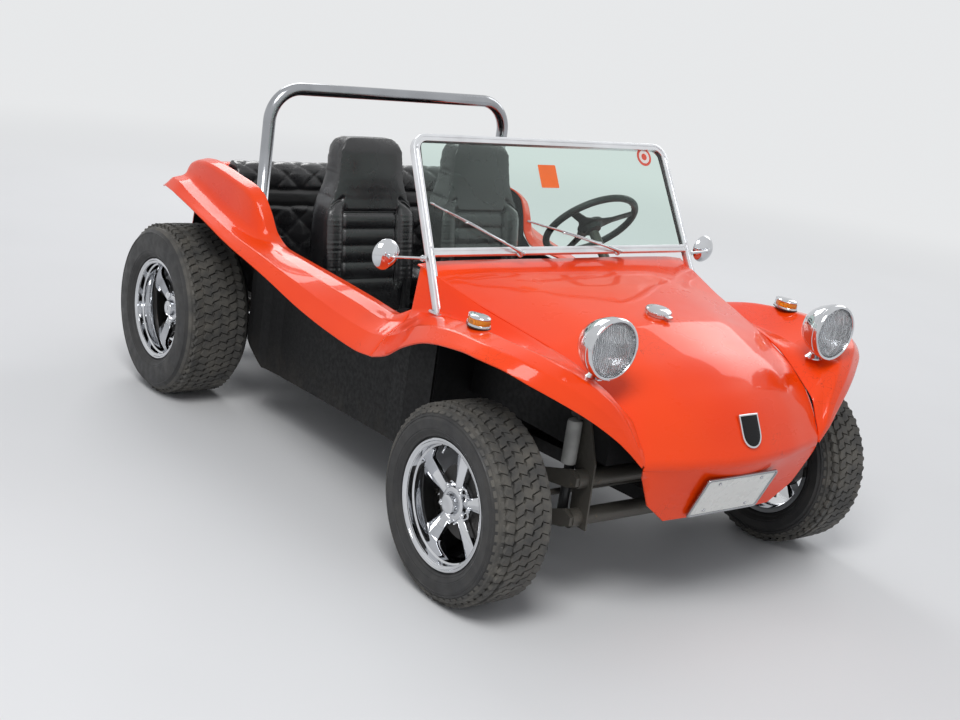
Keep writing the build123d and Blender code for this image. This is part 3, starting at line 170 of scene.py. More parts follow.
def makeMatt(name, colour, grain, roughness, dustTop, dustShare):
    # matt black fibreglass: stipple, and road dust that thins out upwards
    made = Finish(name, colour, roughness, Specular_IOR_Level=0.22)
    height = made.node("ShaderNodeSeparateXYZ", {}, {0: made.place()}, 2)
    cloud = made.step(made.noise(11.0, 5.0, 0.6), 0.35, 0.75)
    tone = made.blend(made.step(height, dustTop, 0.15) * cloud * dustShare, colour, (0.10, 0.085, 0.065))
    rough = made.step(made.noise(grain * 0.3), 0.2, 0.8, roughness - 0.1, roughness + 0.15)
    return made.worn(tone, rough, made.noise(grain, 3.0), 0.35, 0.0012)


def makeMetal(name, colour, roughness, spread, scratch, brushed=(1, 1, 1)):
    made = Finish(name, colour, roughness, 1.0)
    cloud = made.noise(9.0, 4.0)
    tone = made.blend(made.step(cloud, 0.25, 0.8), shade(colour, 1.04), shade(colour, 0.86))
    fine = made.noise(140.0, 2.0, spot=made.place(scale=brushed))
    rough = made.step(cloud, 0.2, 0.85, max(roughness - spread, 0.02), roughness + spread)
    return made.worn(tone, rough + fine * spread * 0.4, fine, scratch, 0.0004)


def makeGlass():
    made = Finish("clearGlass", (1, 1, 1), 0.02, 1.0)
    tint = made.node("ShaderNodeBsdfTransparent", {}, {"Color": (0.88, 0.95, 0.92, 1.0)})
    facing = made.node("ShaderNodeLayerWeight", {}, {"Blend": 0.5}, 1)
    made.feed("Roughness", made.step(made.noise(6.0, 5.0, 0.65), 0.5, 0.85, 0.02, 0.14))
    made.mixed("Material Output", (facing ** 4) * 0.45 + 0.022, tint, Wire(made, made.shader.outputs[0]))
    return made.material


def makeLens(name, colour, flutes, roughness, through=0.92):
    made = Finish(name, colour, roughness, 0.0, Transmission_Weight=through, IOR=1.46)
    # every other flute band is painted darker into the colour: painted shade standing in for the light the
    # flutes bend; the same wave also bumps the glass
    wave = made.node("ShaderNodeTexWave", {"bands_direction": "X"},
                     {"Vector": made.place(), "Scale": flutes})
    tone = made.blend(made.step(wave, 0.05, 0.45), shade(colour, 0.58), colour)
    rough = made.step(made.noise(30.0, 3.0), 0.3, 0.8, roughness, roughness + 0.06)
    return made.worn(tone, rough, wave, 0.5, 0.002)


def makeRubber(name, colour, dust, dustShare, grain=320.0, roughness=0.72):
    made = Finish(name, colour, roughness)
    cloud = made.step(made.noise(14.0, 5.0, 0.62), 0.3, 0.75)
    rough = made.step(made.noise(24.0, 4.0), 0.2, 0.8, roughness - 0.14, roughness + 0.12)
    return made.worn(made.blend(cloud * dustShare, colour, dust), rough, made.noise(grain, 3.0), 0.3, 0.0008)


def makeVinyl(name, colour, roughness=0.27, grain=520.0):
    made = Finish(name, colour, roughness, Specular_IOR_Level=0.6, Coat_Weight=0.5, Coat_Roughness=0.14)
    tone = made.blend(made.step(made.noise(5.0, 4.0), 0.35, 0.75) * 0.5, colour, shade(colour, 2.1))
    rough = made.step(made.noise(9.0, 4.0), 0.25, 0.8, roughness - 0.09, roughness + 0.14)
    pores = made.step(made.cells(grain, "DISTANCE_TO_EDGE"), 0.0, 0.14)
    wrinkles = made.noise(22.0, 3.0, 0.55, made.place(scale=(1, 1, 1.7)))
    return made.worn(tone, rough, pores * 0.3 + wrinkles * 1.4, 0.3, 0.0012)


def makeCast(name, colour, grime, grimeShare=0.6):
    made = Finish(name, colour, 0.5, 0.8)
    cloud = made.step(made.noise(16.0, 6.0, 0.65), 0.38, 0.7)
    return made.worn(made.blend(cloud * grimeShare, colour, grime), cloud * 0.3 + 0.42,
                     made.noise(260.0, 3.0) + made.noise(40.0, 2.0) * 0.6, 0.4, 0.0012)


def makeRust(name, colour, rust, rustShare, roughness=0.55):
    made = Finish(name, colour, roughness, 0.3)
    blotch = made.step(made.noise(21.0, 7.0, 0.7), 0.5, 0.68)
    speck = made.step(made.noise(120.0, 4.0, 0.6), 0.52, 0.66)
    return made.worn(made.blend(blotch * speck * rustShare, colour, rust),
                     blotch * 0.25 + (roughness - 0.1), made.noise(170.0, 5.0), 0.4, 0.0012)


def makeGloss(name, colour, roughness=0.2, vary=0.9, **constants):
    made = Finish(name, colour, roughness, **constants)
    tone = made.blend(made.step(made.noise(18.0, 3.0), 0.3, 0.8), colour, shade(colour, vary))
    rough = made.step(made.noise(35.0, 4.0), 0.25, 0.8, roughness * 0.7, roughness * 1.5)
    return made.worn(tone, rough, made.noise(90.0, 2.0), 0.08, 0.0005)


finishes = {
    "paint": makePaint(),
    # matt black for the inner faces of the body skins
    "blackUnderside": makeMatt("blackUnderside", (0.010, 0.010, 0.011), 150.0, 0.8, 0.75, 0.25),
    "tub": makeMatt("tubBlack", (0.006, 0.006, 0.0065), 220.0, 0.5, 0.42, 0.3),
    "chrome": makeMetal("chromePlate", (0.66, 0.67, 0.69), 0.05, 0.03, 0.03),
    "stainless": makeMetal("stainlessTube", (0.40, 0.41, 0.43), 0.17, 0.07, 0.10),
    "aluminium": makeMetal("satinAluminium", (0.84, 0.85, 0.87), 0.32, 0.06, 0.10, (0.2, 6, 6)),
    "glass": makeGlass(),
    # the three lenses: clear, amber and red glass, each with painted shade stripes along its flutes
    "lampGlass": makeLens("flutedGlass", (0.97, 0.985, 1.0), 45.0, 0.01),
    "amber": makeLens("amberLens", (1.0, 0.36, 0.015), 130.0, 0.1, 0.25),
    "redLens": makeLens("redLens", (0.85, 0.02, 0.012), 150.0, 0.12, 0.4),
    "tread": makeRubber("treadRubber", (0.052, 0.051, 0.049), (0.165, 0.152, 0.128), 0.62),
    "sidewall": makeRubber("sidewallRubber", (0.022, 0.022, 0.023), (0.085, 0.078, 0.066), 0.22,
                           420.0, 0.55),
    "vinyl": makeVinyl("blackVinyl", (0.0085, 0.0085, 0.0095)),
    # darker vinyl for the bench's plain band: painted shade of the recess under the roll
    "shadedBand": makeVinyl("shadedBandVinyl", (0.0030, 0.0030, 0.0035), 0.6, 380.0),
    "piping": makeVinyl("pipingVinyl", (0.013, 0.013, 0.014), 0.26, 700.0),
    "frameBlack": makeGloss("frameBlack", (0.014, 0.014, 0.015), 0.4, 0.6),
    "axleBlack": makeRust("axleBlack", (0.085, 0.079, 0.068), (0.19, 0.145, 0.095), 0.8),
    "drumIron": makeRust("drumIron", (0.035, 0.033, 0.031), (0.12, 0.05, 0.022), 0.8, 0.6),
    "shock": makeGloss("shockPaint", (0.42, 0.42, 0.40), 0.38, 0.7),
    "alloy": makeCast("castAlloy", (0.50, 0.50, 0.49), (0.055, 0.045, 0.035)),
    "caseAlloy": makeCast("gearboxAlloy", (0.40, 0.40, 0.385), (0.05, 0.04, 0.03), 0.75),
    "shroudBlack": makeGloss("shroudBlack", (0.014, 0.014, 0.014), 0.28, 0.7),
    "heatSteel": makeRust("heatSteel", (0.055, 0.050, 0.046), (0.15, 0.065, 0.028), 0.7, 0.6),
    "softBlack": makeGloss("softBlack", (0.010, 0.010, 0.011), 0.45, 0.7),
    "plateWhite": makeGloss("plateWhite", (0.84, 0.85, 0.82), 0.3, 0.95),
    "stickerOrange": makeGloss("stickerOrange", (0.90, 0.17, 0.03), 0.45, 0.92),
    "stickerRed": makeGloss("stickerRed", (0.72, 0.10, 0.06), 0.45, 0.85),
    "paper": makeGloss("stickerPaper", (0.82, 0.80, 0.76), 0.5, 0.9),
    "badgeEnamel": makeGloss("badgeEnamel", (0.006, 0.006, 0.007), 0.3, 0.8, Specular_IOR_Level=0.2),
    "wiperSteel": makeMetal("wiperSteel", (0.55, 0.56, 0.58), 0.24, 0.06, 0.1),
    "mirrorGlass": makeMetal("mirrorGlass", (0.90, 0.92, 0.94), 0.03, 0.01, 0.0),
    "dial": makeGloss("dialFace", (0.012, 0.012, 0.013), 0.35, 0.8),
    "dialMark": makeGloss("dialMark", (0.80, 0.80, 0.76), 0.4, 0.95),
    "lead": makeRubber("leadRubber", (0.012, 0.012, 0.013), (0.05, 0.045, 0.04), 0.4, 500.0, 0.5),
}
print("finishes made:", len(finishes))


# modelling helpers, worked as by hand
def clearAll():
    if bpy.context.object and bpy.context.object.mode != "OBJECT":
        bpy.ops.object.mode_set(mode="OBJECT")
    bpy.ops.object.select_all(action="DESELECT")


def pick(piece, *others):
    clearAll()
    for each in (piece, *others):
        each.select_set(True)
    bpy.context.view_layer.objects.active = piece


def selectPoints():
    bpy.ops.mesh.select_all(action="SELECT")


def openMesh(piece):
    pick(piece)
    bpy.ops.object.mode_set(mode="EDIT")
    selectPoints()


def closeMesh(tidied=False):
    if tidied:
        selectPoints()
        bpy.ops.mesh.normals_make_consistent(inside=False)
    bpy.ops.object.mode_set(mode="OBJECT")


def linked(name, data):
    made = bpy.data.objects.new(name, data)
    bpy.context.collection.objects.link(made)
    return made


def settle(piece):
    # the place goes into the mesh, so the object itself sits at the origin
    pick(piece)
    if piece.type != "MESH":
        bpy.ops.object.convert(target="MESH")
        piece = bpy.context.object
    bpy.ops.object.transform_apply(location=True, rotation=True, scale=True)
    return piece


def colourFaces(piece, finishNames, choose=None):
    piece.data.materials.clear()
    for each in finishNames:
        piece.data.materials.append(finishes[each])
    for face in piece.data.polygons:
        face.material_index = choose(face) if choose else 0


def finish(piece, name, finishName=None, replaces=(), smooth=40, body="chassis"):
    piece = settle(piece)
    piece.name = name
    piece.data.name = name
    if finishName:
        piece.data.materials.clear()
        piece.data.materials.append(finishes[finishName])
    if smooth:
        pick(piece)
        bpy.ops.object.shade_smooth_by_angle(angle=math.radians(smooth))
    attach(piece, body)
    if replaces:
        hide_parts(*replaces)
    return piece


def assembled(name, parts, seat=(), replaces=(), smooth=40):
    # (piece, finish) pairs made one; the seat is a place, the way of local z and of local x
    for part, finishName in parts:
        if finishName:
            colourFaces(part, [finishName])
    whole = joined([part for part, finishName in parts])
    if seat:
        whole = placed(whole, *seat)
    return finish(whole, name, None, replaces, smooth)


def applyAll(piece):
    pick(piece)
    for modifier in list(piece.modifiers):
        bpy.ops.object.modifier_apply(modifier=modifier.name)
    return piece


def joined(pieces):
    pieces = [settle(piece) for piece in pieces]
    pick(*pieces)
    if len(pieces) > 1:
        bpy.ops.object.join()
    return bpy.context.object


def withModifier(piece, kind, **settings):
    modifier = piece.modifiers.new(kind.lower(), kind)
    for setting, value in settings.items():
        setattr(modifier, setting, value)
    return modifier


def bevelled(piece, width, segments=2, angle=30):
    withModifier(piece, "BEVEL", width=width, segments=segments, limit_method="ANGLE",
                 angle_limit=math.radians(angle))
    return applyAll(piece)


def walled(piece, thickness, offset):
    withModifier(piece, "SOLIDIFY", thickness=thickness, offset=offset)
    return applyAll(piece)


def placed(piece, place, towards=None, up=None):
    # local z is laid along "towards", then the piece is moved to its place
    turn = Matrix.Identity(4)
    if towards is not None:
        zWay = Vector(towards).normalized()
        hint = Vector(up or (leftWay if abs(zWay.x) < 0.9 else tailWay))
        xWay = (hint - hint.dot(zWay) * zWay).normalized()
        turn = Matrix((xWay, zWay.cross(xWay), zWay)).transposed().to_4x4()
    piece.matrix_world = Matrix.Translation(place) @ turn @ piece.matrix_world
    return settle(piece)


def reshaped(piece, *moves):
    for move in moves:
        piece.data.transform(move)
    return piece


def turned(profile, steps=48, closed=False, unit=0.001):
    # a lathe: (radius, height) corners in mm, drawn by extruding a point, then spun about z
    profile = [Vector((radius, 0, height)) * unit for radius, height in profile]
    clearAll()
    bpy.ops.mesh.primitive_plane_add(size=0.001, location=(0, 0, 0))
    piece = bpy.context.object
    openMesh(piece)
    bpy.ops.mesh.merge(type="CENTER")
    bpy.ops.transform.translate(value=profile[0])
    for before, after in zip(profile, profile[1:]):
        bpy.ops.mesh.extrude_region_move(TRANSFORM_OT_translate={"value": after - before})
    selectPoints()
    if closed:
        bpy.ops.mesh.edge_face_add()
        bpy.ops.mesh.delete(type="ONLY_FACE")
        selectPoints()
    bpy.ops.mesh.spin(steps=steps, angle=2 * math.pi, center=(0, 0, 0), axis=upWay)
    selectPoints()
    bpy.ops.mesh.remove_doubles(threshold=0.00002)
    closeMesh(True)
    return piece


def repeated(piece, count):
    # the piece as one of a number of copies round z
    openMesh(piece)
    bpy.ops.mesh.spin(steps=count - 1, dupli=True, angle=2 * math.pi * (count - 1) / count,
                      center=(0, 0, 0), axis=upWay)
    closeMesh()
    return piece


def bar(start, end, radius, edge=0.0, sides=24, endRadius=None):
    start, end = Vector(start), Vector(end)
    high = (end - start).length
    clearAll()
    bpy.ops.mesh.primitive_cone_add(vertices=sides, radius1=radius, radius2=endRadius or radius,
                                    depth=high, location=(0, 0, high / 2))
    piece = settle(bpy.context.object)
    if edge:
        bevelled(piece, edge, 2, 50)
    return placed(piece, start, end - start)


def peg(foot, way, low, high, *form):
    # a bar along a way, from one height over its foot to another
    foot, way = Vector(foot), Vector(way)
    return bar(foot + way * low, foot + way * high, *form)


def block(wide=1, middle=0):
    clearAll()
    bpy.ops.mesh.primitive_cube_add(size=wide, location=(middle, 0, 0))
    return settle(bpy.context.object)


def slab(low, high, edge=0.0, segments=2):
    low, high = Vector(low), Vector(high)
    piece = reshaped(block(), Matrix.Diagonal((*(high - low), 1)), Matrix.Translation((high + low) / 2))
    if edge:
        bevelled(piece, edge, segments)
    return piece


def drawn(name, points, kind="POLY", closed=False, **settings):
    curve = bpy.data.curves.new(name, "CURVE")
    for setting, value in settings.items():
        setattr(curve, setting, value)
    spline = curve.splines.new(kind)
    spline.points.add(len(points) - 1)
    for spot, point in zip(spline.points, points):
        spot.co = (*point, 1.0)
    if kind == "NURBS":
        spline.order_u = 3
        spline.use_endpoint_u = not closed
    spline.use_cyclic_u = closed
    return linked(name, curve)


def tube(points, radius, closed=False, sides=6, steps=12, kind="NURBS"):
    return settle(drawn("route", points, kind, closed, dimensions="3D", bevel_depth=radius,
                        bevel_resolution=sides // 2, resolution_u=steps, use_fill_caps=not closed))


def skinOf(name):
    # a merged copy of a CAD node, so that the gloss runs smoothly over its facets
    piece = settle(linked(name + "Copy", nodes[name].data.copy()))
    openMesh(piece)
    bpy.ops.mesh.remove_doubles(threshold=0.00002)
    closeMesh()
    return piece


# body skins: sheets laid through the same stations as the moulded body, then given their thickness, with red
# outside and matt black inside
def roundedPath(corners, radii, arcSteps, runSteps):
    # a polyline whose corners are rounded, as a fixed number of points
    corners = [Vector(corner) for corner in corners]
    bends = []
    for before, here, after, bend in zip(corners, corners[1:], corners[2:], radii):
        into, out = before - here, after - here
        half = into.angle(out) / 2
        cut = min(bend / math.tan(half), into.length * 0.98, out.length * 0.98)
        radius = cut * math.tan(half)
        into, out = into.normalized(), out.normalized()
        centre = here + (into + out).normalized() * (radius / math.sin(half))
        first = here + into * cut - centre
        sign = 1 if first.cross(here + out * cut - centre) > 0 else -1
        spread = sign * (math.pi - 2 * half) / arcSteps
        bends.append([centre + Matrix.Rotation(spread * step, 2) @ first for step in range(arcSteps + 1)])
    runs = [corners[:1], *bends, corners[-1:]]
    points = []
    for before, after in zip(runs, runs[1:]):
        points += before
        points += [before[-1].lerp(after[0], step / runSteps) for step in range(1, runSteps)]
    return points + runs[-1]


def naturalSpline(knots, values, places):
    # a smooth curve through the values at the knots, read at the places
    count = len(knots)
    gaps = [knots[i + 1] - knots[i] for i in range(count - 1)]
    slopes = [(values[i + 1] - values[i]) / gaps[i] for i in range(count - 1)]
    tangents = [slopes[0]]
    for i in range(1, count - 1):
        if slopes[i - 1] * slopes[i] <= 0:
            tangents.append(0.0)
        else:
            first = 2 * gaps[i] + gaps[i - 1]
            second = gaps[i] + 2 * gaps[i - 1]
            tangents.append((first + second) / (first / slopes[i - 1] + second / slopes[i]))
    tangents.append(slopes[-1])
    read = []
    for place in places:
        i = min(max(sum(1 for knot in knots if knot <= place) - 1, 0), count - 2)
        t = (place - knots[i]) / gaps[i]
        s = t * t * (3 - 2 * t)
        lean = (1 - t) * tangents[i] - t * tangents[i + 1]
        read.append((1 - s) * values[i] + s * values[i + 1] + t * (1 - t) * lean * gaps[i])
    return read


shell = {"thickness": 0.006, "bends": (26.0, 44.0, 20.0), "between": 6, "noseHalf": 395.0,
         "noseCorner": -403.0, "flare": 0.2253, "gap": 0.5, "hoodBends": (400, 500, 420, 260, 42),
         "hoodBetween": 8, "lip": 0.0013}


def laidSheet(name, rows, knots, between, node, flip=False):
    # rows of points become a quad sheet; extra rows are read between the stations
    places = []
    for start, end in zip(knots, knots[1:]):
        places += [start + (end - start) * step / between for step in range(between)]
    places.append(knots[-1])
    spots = []
    for index in range(len(rows[0])):
        axes = [naturalSpline(knots, [row[index][axis] for row in rows], places) for axis in range(3)]
        spots += zip(*axes)
    high = len(places)
    faces = []
    for across in range(len(rows[0]) - 1):
        for along in range(high - 1):
            corner = across * high + along
            ring = [corner, corner + 1, corner + high + 1, corner + high]
            faces.append(ring if flip else ring[::-1])
    mesh = bpy.data.meshes.new(name)
    mesh.from_pydata(spots, [], faces)
    mesh.update()
    sheet = linked(name, mesh)
    for each in ("paint", "blackUnderside"):
        mesh.materials.append(finishes[each])
    withModifier(sheet, "SOLIDIFY", thickness=shell["thickness"], offset=-1.0, use_even_offset=True,
                 material_offset=1, material_offset_rim=0)
    bevelled(sheet, shell["lip"], 2, 55)
    return finish(sheet, name, None, (node,), 50)


# Columns: inner aft, inner half width, lip aft, lip half width, inner height, shoulder step and
# height, crown set-in and height, crease set-in and height, lip height, share of the bend radii (mm).
frontWingLines = [
    (-402, 395.2, -400.5, 405, 549, 2, 552, 4, 555, 1.5, 555, 546, 0.02),
    (-398, 396.1, -390, 456, 570, 16, 584, 28, 602, 12, 606, 594, 0.1),
    (-370, 402.5, -373, 498, 617, 25, 632, 45, 662, 16, 660, 630, 0.3),
    (-330, 411.5, -333, 590, 674, 45, 706, 75, 744, 24, 734, 692, 0.6),
    (-270, 425.0, -281, 680, 706, 60, 756, 95, 796, 32, 784, 741, 0.9),
    (-190, 443.0, -229, 750, 746, 70, 784, 115, 828, 38, 816, 777, 1.0),
    (-90, 465.6, -150, 800, 784, 75, 792, 122, 848, 42, 838, 805, 1.0),
    (30, 492.6, -40, 828, 806, 70, 790, 126, 854, 44, 843, 813, 1.0),
    (150, 519.7, 80, 826, 827, 55, 786, 130, 850, 45, 838, 800, 1.0),
    (270, 546.7, 200, 820, 848, 45, 786, 132, 836, 46, 820, 775, 1.0),
    (380, 571.5, 325, 812, 874, 30, 786, 134, 806, 48, 782, 722, 1.0),
    (480, 594.0, 440, 797, 898, 20, 782, 135, 766, 52, 722, 655, 0.9),
    (560, 612.0, 530, 786, 916, 16, 768, 132, 728, 54, 684, 622, 0.8),
]
rearWingLines = [
    (560.5, 612.0, 530, 786, 770, 16, 768, 132, 728, 54, 684, 622, 0.8),
    (660, 602.0, 650, 781, 724, 32, 726, 112, 706, 50, 668, 609, 0.8),
    (820, 600.0, 820, 780, 731, 32, 734, 108, 716, 48, 673, 617, 0.8),
    (1020, 600.0, 1020, 781, 738, 32, 741, 106, 726, 46, 692, 638, 0.8),
    (1280, 600.0, 1270, 786, 744, 32, 748, 106, 740, 44, 722, 684, 0.8),
    (1440, 600.0, 1430, 794, 749, 34, 756, 108, 756, 44, 745, 714, 0.8),
    (1520, 612.0, 1520, 799, 790, 38, 788, 112, 766, 44, 756, 730, 0.8),
    (1560, 627.0, 1570, 801, 866, 42, 850, 112, 772, 44, 762, 740, 0.8),
    (1610, 638.0, 1630, 803, 926, 46, 905, 110, 782, 44, 771, 752, 0.8),
    (1680, 641.0, 1710, 804, 948, 48, 930, 108, 800, 42, 786, 770, 0.9),
    (1780, 641.0, 1810, 803, 957, 48, 942, 106, 822, 40, 804, 789, 0.9),
    (1900, 639.0, 1930, 800, 968, 48, 954, 104, 846, 38, 826, 808, 0.9),
    (2020, 634.0, 2040, 795, 974, 48, 960, 100, 866, 36, 846, 822, 0.9),
    (2120, 629.0, 2130, 786, 964, 46, 952, 96, 878, 34, 862, 829, 0.9),
    (2200, 624.0, 2205, 774, 940, 44, 930, 92, 878, 32, 864, 829, 0.9),
    (2262, 620.0, 2262, 758, 868, 42, 862, 88, 846, 30, 838, 818, 0.35),
]


def wingRow(line, side):
    (innerAft, innerX, lipAft, lipX, innerZ, step, shoulderZ, crownIn, crownZ, creaseIn, creaseZ, lipZ,
     share) = line
    wide, back = lipX - innerX, lipAft - innerAft
    reach = math.hypot(wide, back)
    corners = [(0, innerZ), (step, shoulderZ), (reach - crownIn, crownZ), (reach - creaseIn, creaseZ),
               (reach, lipZ)]
    path = roundedPath(corners, [bend * share for bend in shell["bends"]], 6, 3)
    return [(side * (innerX + wide * spot.x / reach) / 1000,
             aft((innerAft + back * spot.x / reach) / 1000), spot.y / 1000) for spot in path]


for wingName, lines in (("front", frontWingLines), ("rear", rearWingLines)):
    for side, sideName in hands:
        laidSheet(wingName + "Wing" + sideName, [wingRow(line, side) for line in lines],
                  [line[0] / 1000 for line in lines], shell["between"],
                  wingName + "_wing_" + sideName.lower(), side < 0)

# the hood's line at four shares of its half width, as (aft, height) corners
hoodLines = [
    (0.0, [(575, 929), (300, 906), (0, 868), (-250, 800), (-400, 705), (-480, 560), (-470, 535)]),
    (0.5, [(575, 930), (300, 898), (0, 852), (-235, 785), (-380, 697), (-459, 560), (-450, 535)]),
    (0.85, [(575, 928), (300, 872), (0, 818), (-200, 763), (-345, 682), (-423, 560), (-416, 535)]),
    (1.0, [(575, 920), (300, 856), (0, 802), (-180, 752), (-325, 674), (-403, 560), (-398, 535)]),
]


def hoodRow(share, corners):
    row = []
    for spot in roundedPath(corners, shell["hoodBends"], 8, 6):
        half = shell["noseHalf"] + (spot.x - shell["noseCorner"]) * shell["flare"] - shell["gap"]
        row.append((share * half / 1000, aft(spot.x / 1000), spot.y / 1000))
    return row


hoodLines = [(-share, corners) for share, corners in reversed(hoodLines[1:])] + hoodLines
laidSheet("hoodSkin", [hoodRow(*line) for line in hoodLines], [line[0] for line in hoodLines],
          shell["hoodBetween"], "hood")

for name, inward in (("nose_panel", (0, 1, 0)), ("rear_deck", (0, -1.2, -1))):
    piece = finish(skinOf(name), name.split("_")[0] + "Skin", None, (name,), 38)
    # faces that point inwards take the matt black
    colourFaces(piece, ["paint", "blackUnderside"], lambda face: 1 if face.normal.dot(inward) > 0.3 else 0)
print("skins done")

# plain CAD nodes that keep their own mesh
kept = {
    "tub": ("tub_side_left", "tub_side_right", "floor_pan", "rear_floor", "trunk_tub", "dashboard"),
    "frameBlack": ("seat_frames",),
    "axleBlack": ("front_beam", "front_arms", "knuckle_left", "knuckle_right", "tie_rods", "steering_column",
                  "rear_suspension"),
    "shock": ("front_shocks",), "caseAlloy": ("transaxle",), "alloy": ("engine_block",),
    "shroudBlack": ("fan_shroud",), "heatSteel": ("exhaust",), "glass": ("windshield_glass",),
    "chrome": ("air_cleaner",),
    "drumIron": ("front_drum_left", "front_drum_right", "rear_drum_left", "rear_drum_right"),
}
for finishName, names in kept.items():
    for name in names:
        nodes[name].data.materials.clear()
        nodes[name].data.materials.append(finishes[finishName])

# the hoop's CAD form is right: a merged copy shines evenly
finish(skinOf("roll_bar"), "rollHoop", "stainless", ("roll_bar",), 35)
print("nodes dressed")


def raised(outline, rings):
    # an outline drawn on the floor, extruded up through rings of (height in mm, scale) and closed
    rings = [(height / 1000, scale) for height, scale in rings]
    clearAll()
    bpy.ops.mesh.primitive_circle_add(vertices=len(outline), radius=1, fill_type="NGON", location=(0, 0, 0))
    piece = settle(bpy.context.object)
    for vertex, spot in zip(piece.data.vertices, outline):
        vertex.co = (spot[0] * rings[0][1], spot[1] * rings[0][1], rings[0][0])
    openMesh(piece)
    for before, after in zip(rings, rings[1:]):
        bpy.ops.mesh.extrude_region_move(TRANSFORM_OT_translate={"value": (0, 0, after[0] - before[0])})
        share = after[1] / before[1]
        bpy.ops.transform.resize(value=(share, share, 1), center_override=(0, 0, after[0]))
    closeMesh(True)
    return piece


def ringSpot(radius, degrees, high=0.0):
    angle = math.radians(degrees)
    return Vector((radius * math.cos(angle), radius * math.sin(angle), high))


# wheels, each about its own z, which points out of the car
wheels = {
    "front": {"radius": 0.316, "width": 0.225, "rimHalf": 0.097, "across": 0.730, "along": aft(0),
              "groove": 0.0075, "steps": 112, "pitches": 56, "rows": 5, "wave": 0.0042, "split": 0.0034,
              "lean": 0.30},
    "rear": {"radius": 0.350, "width": 0.290, "rimHalf": 0.125, "across": 0.733, "along": aft(2.032),
             "groove": 0.0085, "steps": 120, "pitches": 60, "rows": 6, "wave": 0.0048, "split": 0.0038,
             "lean": 0.30},
}
tyreForm = {"flange": 0.207, "blockLong": 0.88, "drop": 0.0075, "tilt": 15.0, "stagger": 0.13,
            "shoulder": 0.030, "lug": (0.030, 0.62, 0.007), "lugTurn": 50}
rimForm = {"steps": 96, "plane": 0.025, "root": 0.50, "tip": 1.18, "inner": 0.032,
           "spoke": (0.150, 0.062, 0.020), "nutRing": 0.0585, "nuts": 5, "valve": 0.1800}


def tyre(wheel):
    # a ribbed carcass with its shoulders, and rows of staggered tread blocks
    radius, half, rimHalf, groove = wheel["radius"], wheel["width"] / 2, wheel["rimHalf"], wheel["groove"]
    flange = tyreForm["flange"]
    crown = radius - groove
    profile = [
        (flange - 0.014, rimHalf - 0.0085), (flange + 0.003, rimHalf - 0.006),
        (flange + 0.006, rimHalf + 0.001), (flange + 0.012, rimHalf + 0.004),
        (flange + 0.014, half - 0.012), (flange + 0.024, half - 0.005), (flange + 0.026, half - 0.0035),
        (flange + 0.030, half - 0.0035), (flange + 0.032, half - 0.0015),
        ((flange + radius) / 2 + 0.004, half), (radius - 0.042, half - 0.005),
        (radius - 0.040, half - 0.0035), (radius - 0.036, half - 0.0045), (radius - 0.034, half - 0.008),
        (radius - 0.026, half - 0.015), (radius - 0.017, half * 0.74 + 0.014), (crown - 0.007, half * 0.70),
        (crown - 0.003, half * 0.45), (crown - 0.0005, half * 0.2), (crown, 0.0),
    ]
    profile += [(ring, -across) for ring, across in reversed(profile[:-1])]
    carcass = turned(profile, wheel["steps"], True, 1)
    colourFaces(carcass, ["sidewall", "tread"],
                lambda face: 1 if math.hypot(*face.center.xy) > radius - tyreForm["shoulder"] else 0)

    # one pitch of the tread: blocks drawn as lozenges on the crown, then spun round
    blocks = []
    pitch = 2 * math.pi / wheel["pitches"]
    across = half * 0.72
    rowWide = 2 * across / wheel["rows"]
    for index in range(wheel["rows"]):
        middle = -across + rowWide * (index + 0.5)
        share = middle / across
        lean = wheel["lean"] * (1 if index % 2 else -1)
        outline = []
        for hand in (1, -1):
            for step in range(7):
                along = hand * (-0.5 + step / 6) * tyreForm["blockLong"]
                wave = wheel["wave"] * math.sin(2 * math.pi * along + (0.9 if hand > 0 else 0.0))
                edge = hand * (rowWide - wheel["split"]) / 2
                outline.append((edge + wave, (along + lean * edge / rowWide) * pitch * radius))
        tile = raised(outline, [(-groove * 1000 - 3, 1.0), (-1.2, 1.0), (0.0, 0.955)])
        # laid on the crown: across the tyre is z, up is outwards
        blocks.append(reshaped(
            tile, Matrix(((0, 0, 1, 0), (0, 1, 0, 0), (-1, 0, 0, 0), (0, 0, 0, 1))),
            Matrix.Rotation(math.radians(tyreForm["tilt"] * share ** 3), 4, "Y"),
            Matrix.Translation((radius + 0.0004 - tyreForm["drop"] * share ** 4, 0, middle)),
            Matrix.Rotation(pitch * (0.5 * (index % 2) + tyreForm["stagger"] * index), 4, "Z")))
    for face in (1, -1):
        # shoulder lugs that run down the sides
        out, long, thick = tyreForm["lug"]
        lug = reshaped(block(), Matrix.Diagonal((out, pitch * radius * long, thick, 1)),
                       Matrix.Rotation(face * math.radians(tyreForm["lugTurn"]), 4, "Y"),
                       Matrix.Translation((radius - 0.0225, 0, face * (half * 0.74 + 0.0085))),
                       Matrix.Rotation(pitch * 0.5, 4, "Z"))
        blocks.append(bevelled(lug, 0.0016, 1, 45))
    tread = repeated(joined(blocks), wheel["pitches"])
    colourFaces(tread, ["sidewall", "tread"], lambda face: 1)
    return joined([carcass, tread])


# the rim's barrel: radius, edge that it is measured from (-1 inner, 1 outer) and distance past it (mm)
barrel = [
    (192.5, -1, 4), (205.5, -1, 1.5), (206.5, -1, 0), (204.5, -1, -0.2), (189, -1, 2), (183.5, -1, 16),
    (177, -1, 28), (177, 1, -72), (177.5, 1, -52), (180, 1, -46), (181.5, 1, -30), (187, 1, -26),
    (188.5, 1, -10), (196, 1, -6), (199, 1, -1.5), (205, 1, -0.2), (206.7, 1, -1.2), (206.3, 1, -3.5),
    (193.5, 1, -5), (190, 1, -7), (189.5, 1, -30), (184, 1, -40), (184, -1, 35), (189.5, -1, 22),
    (189.8, -1, 8), (192.5, -1, 4),
]


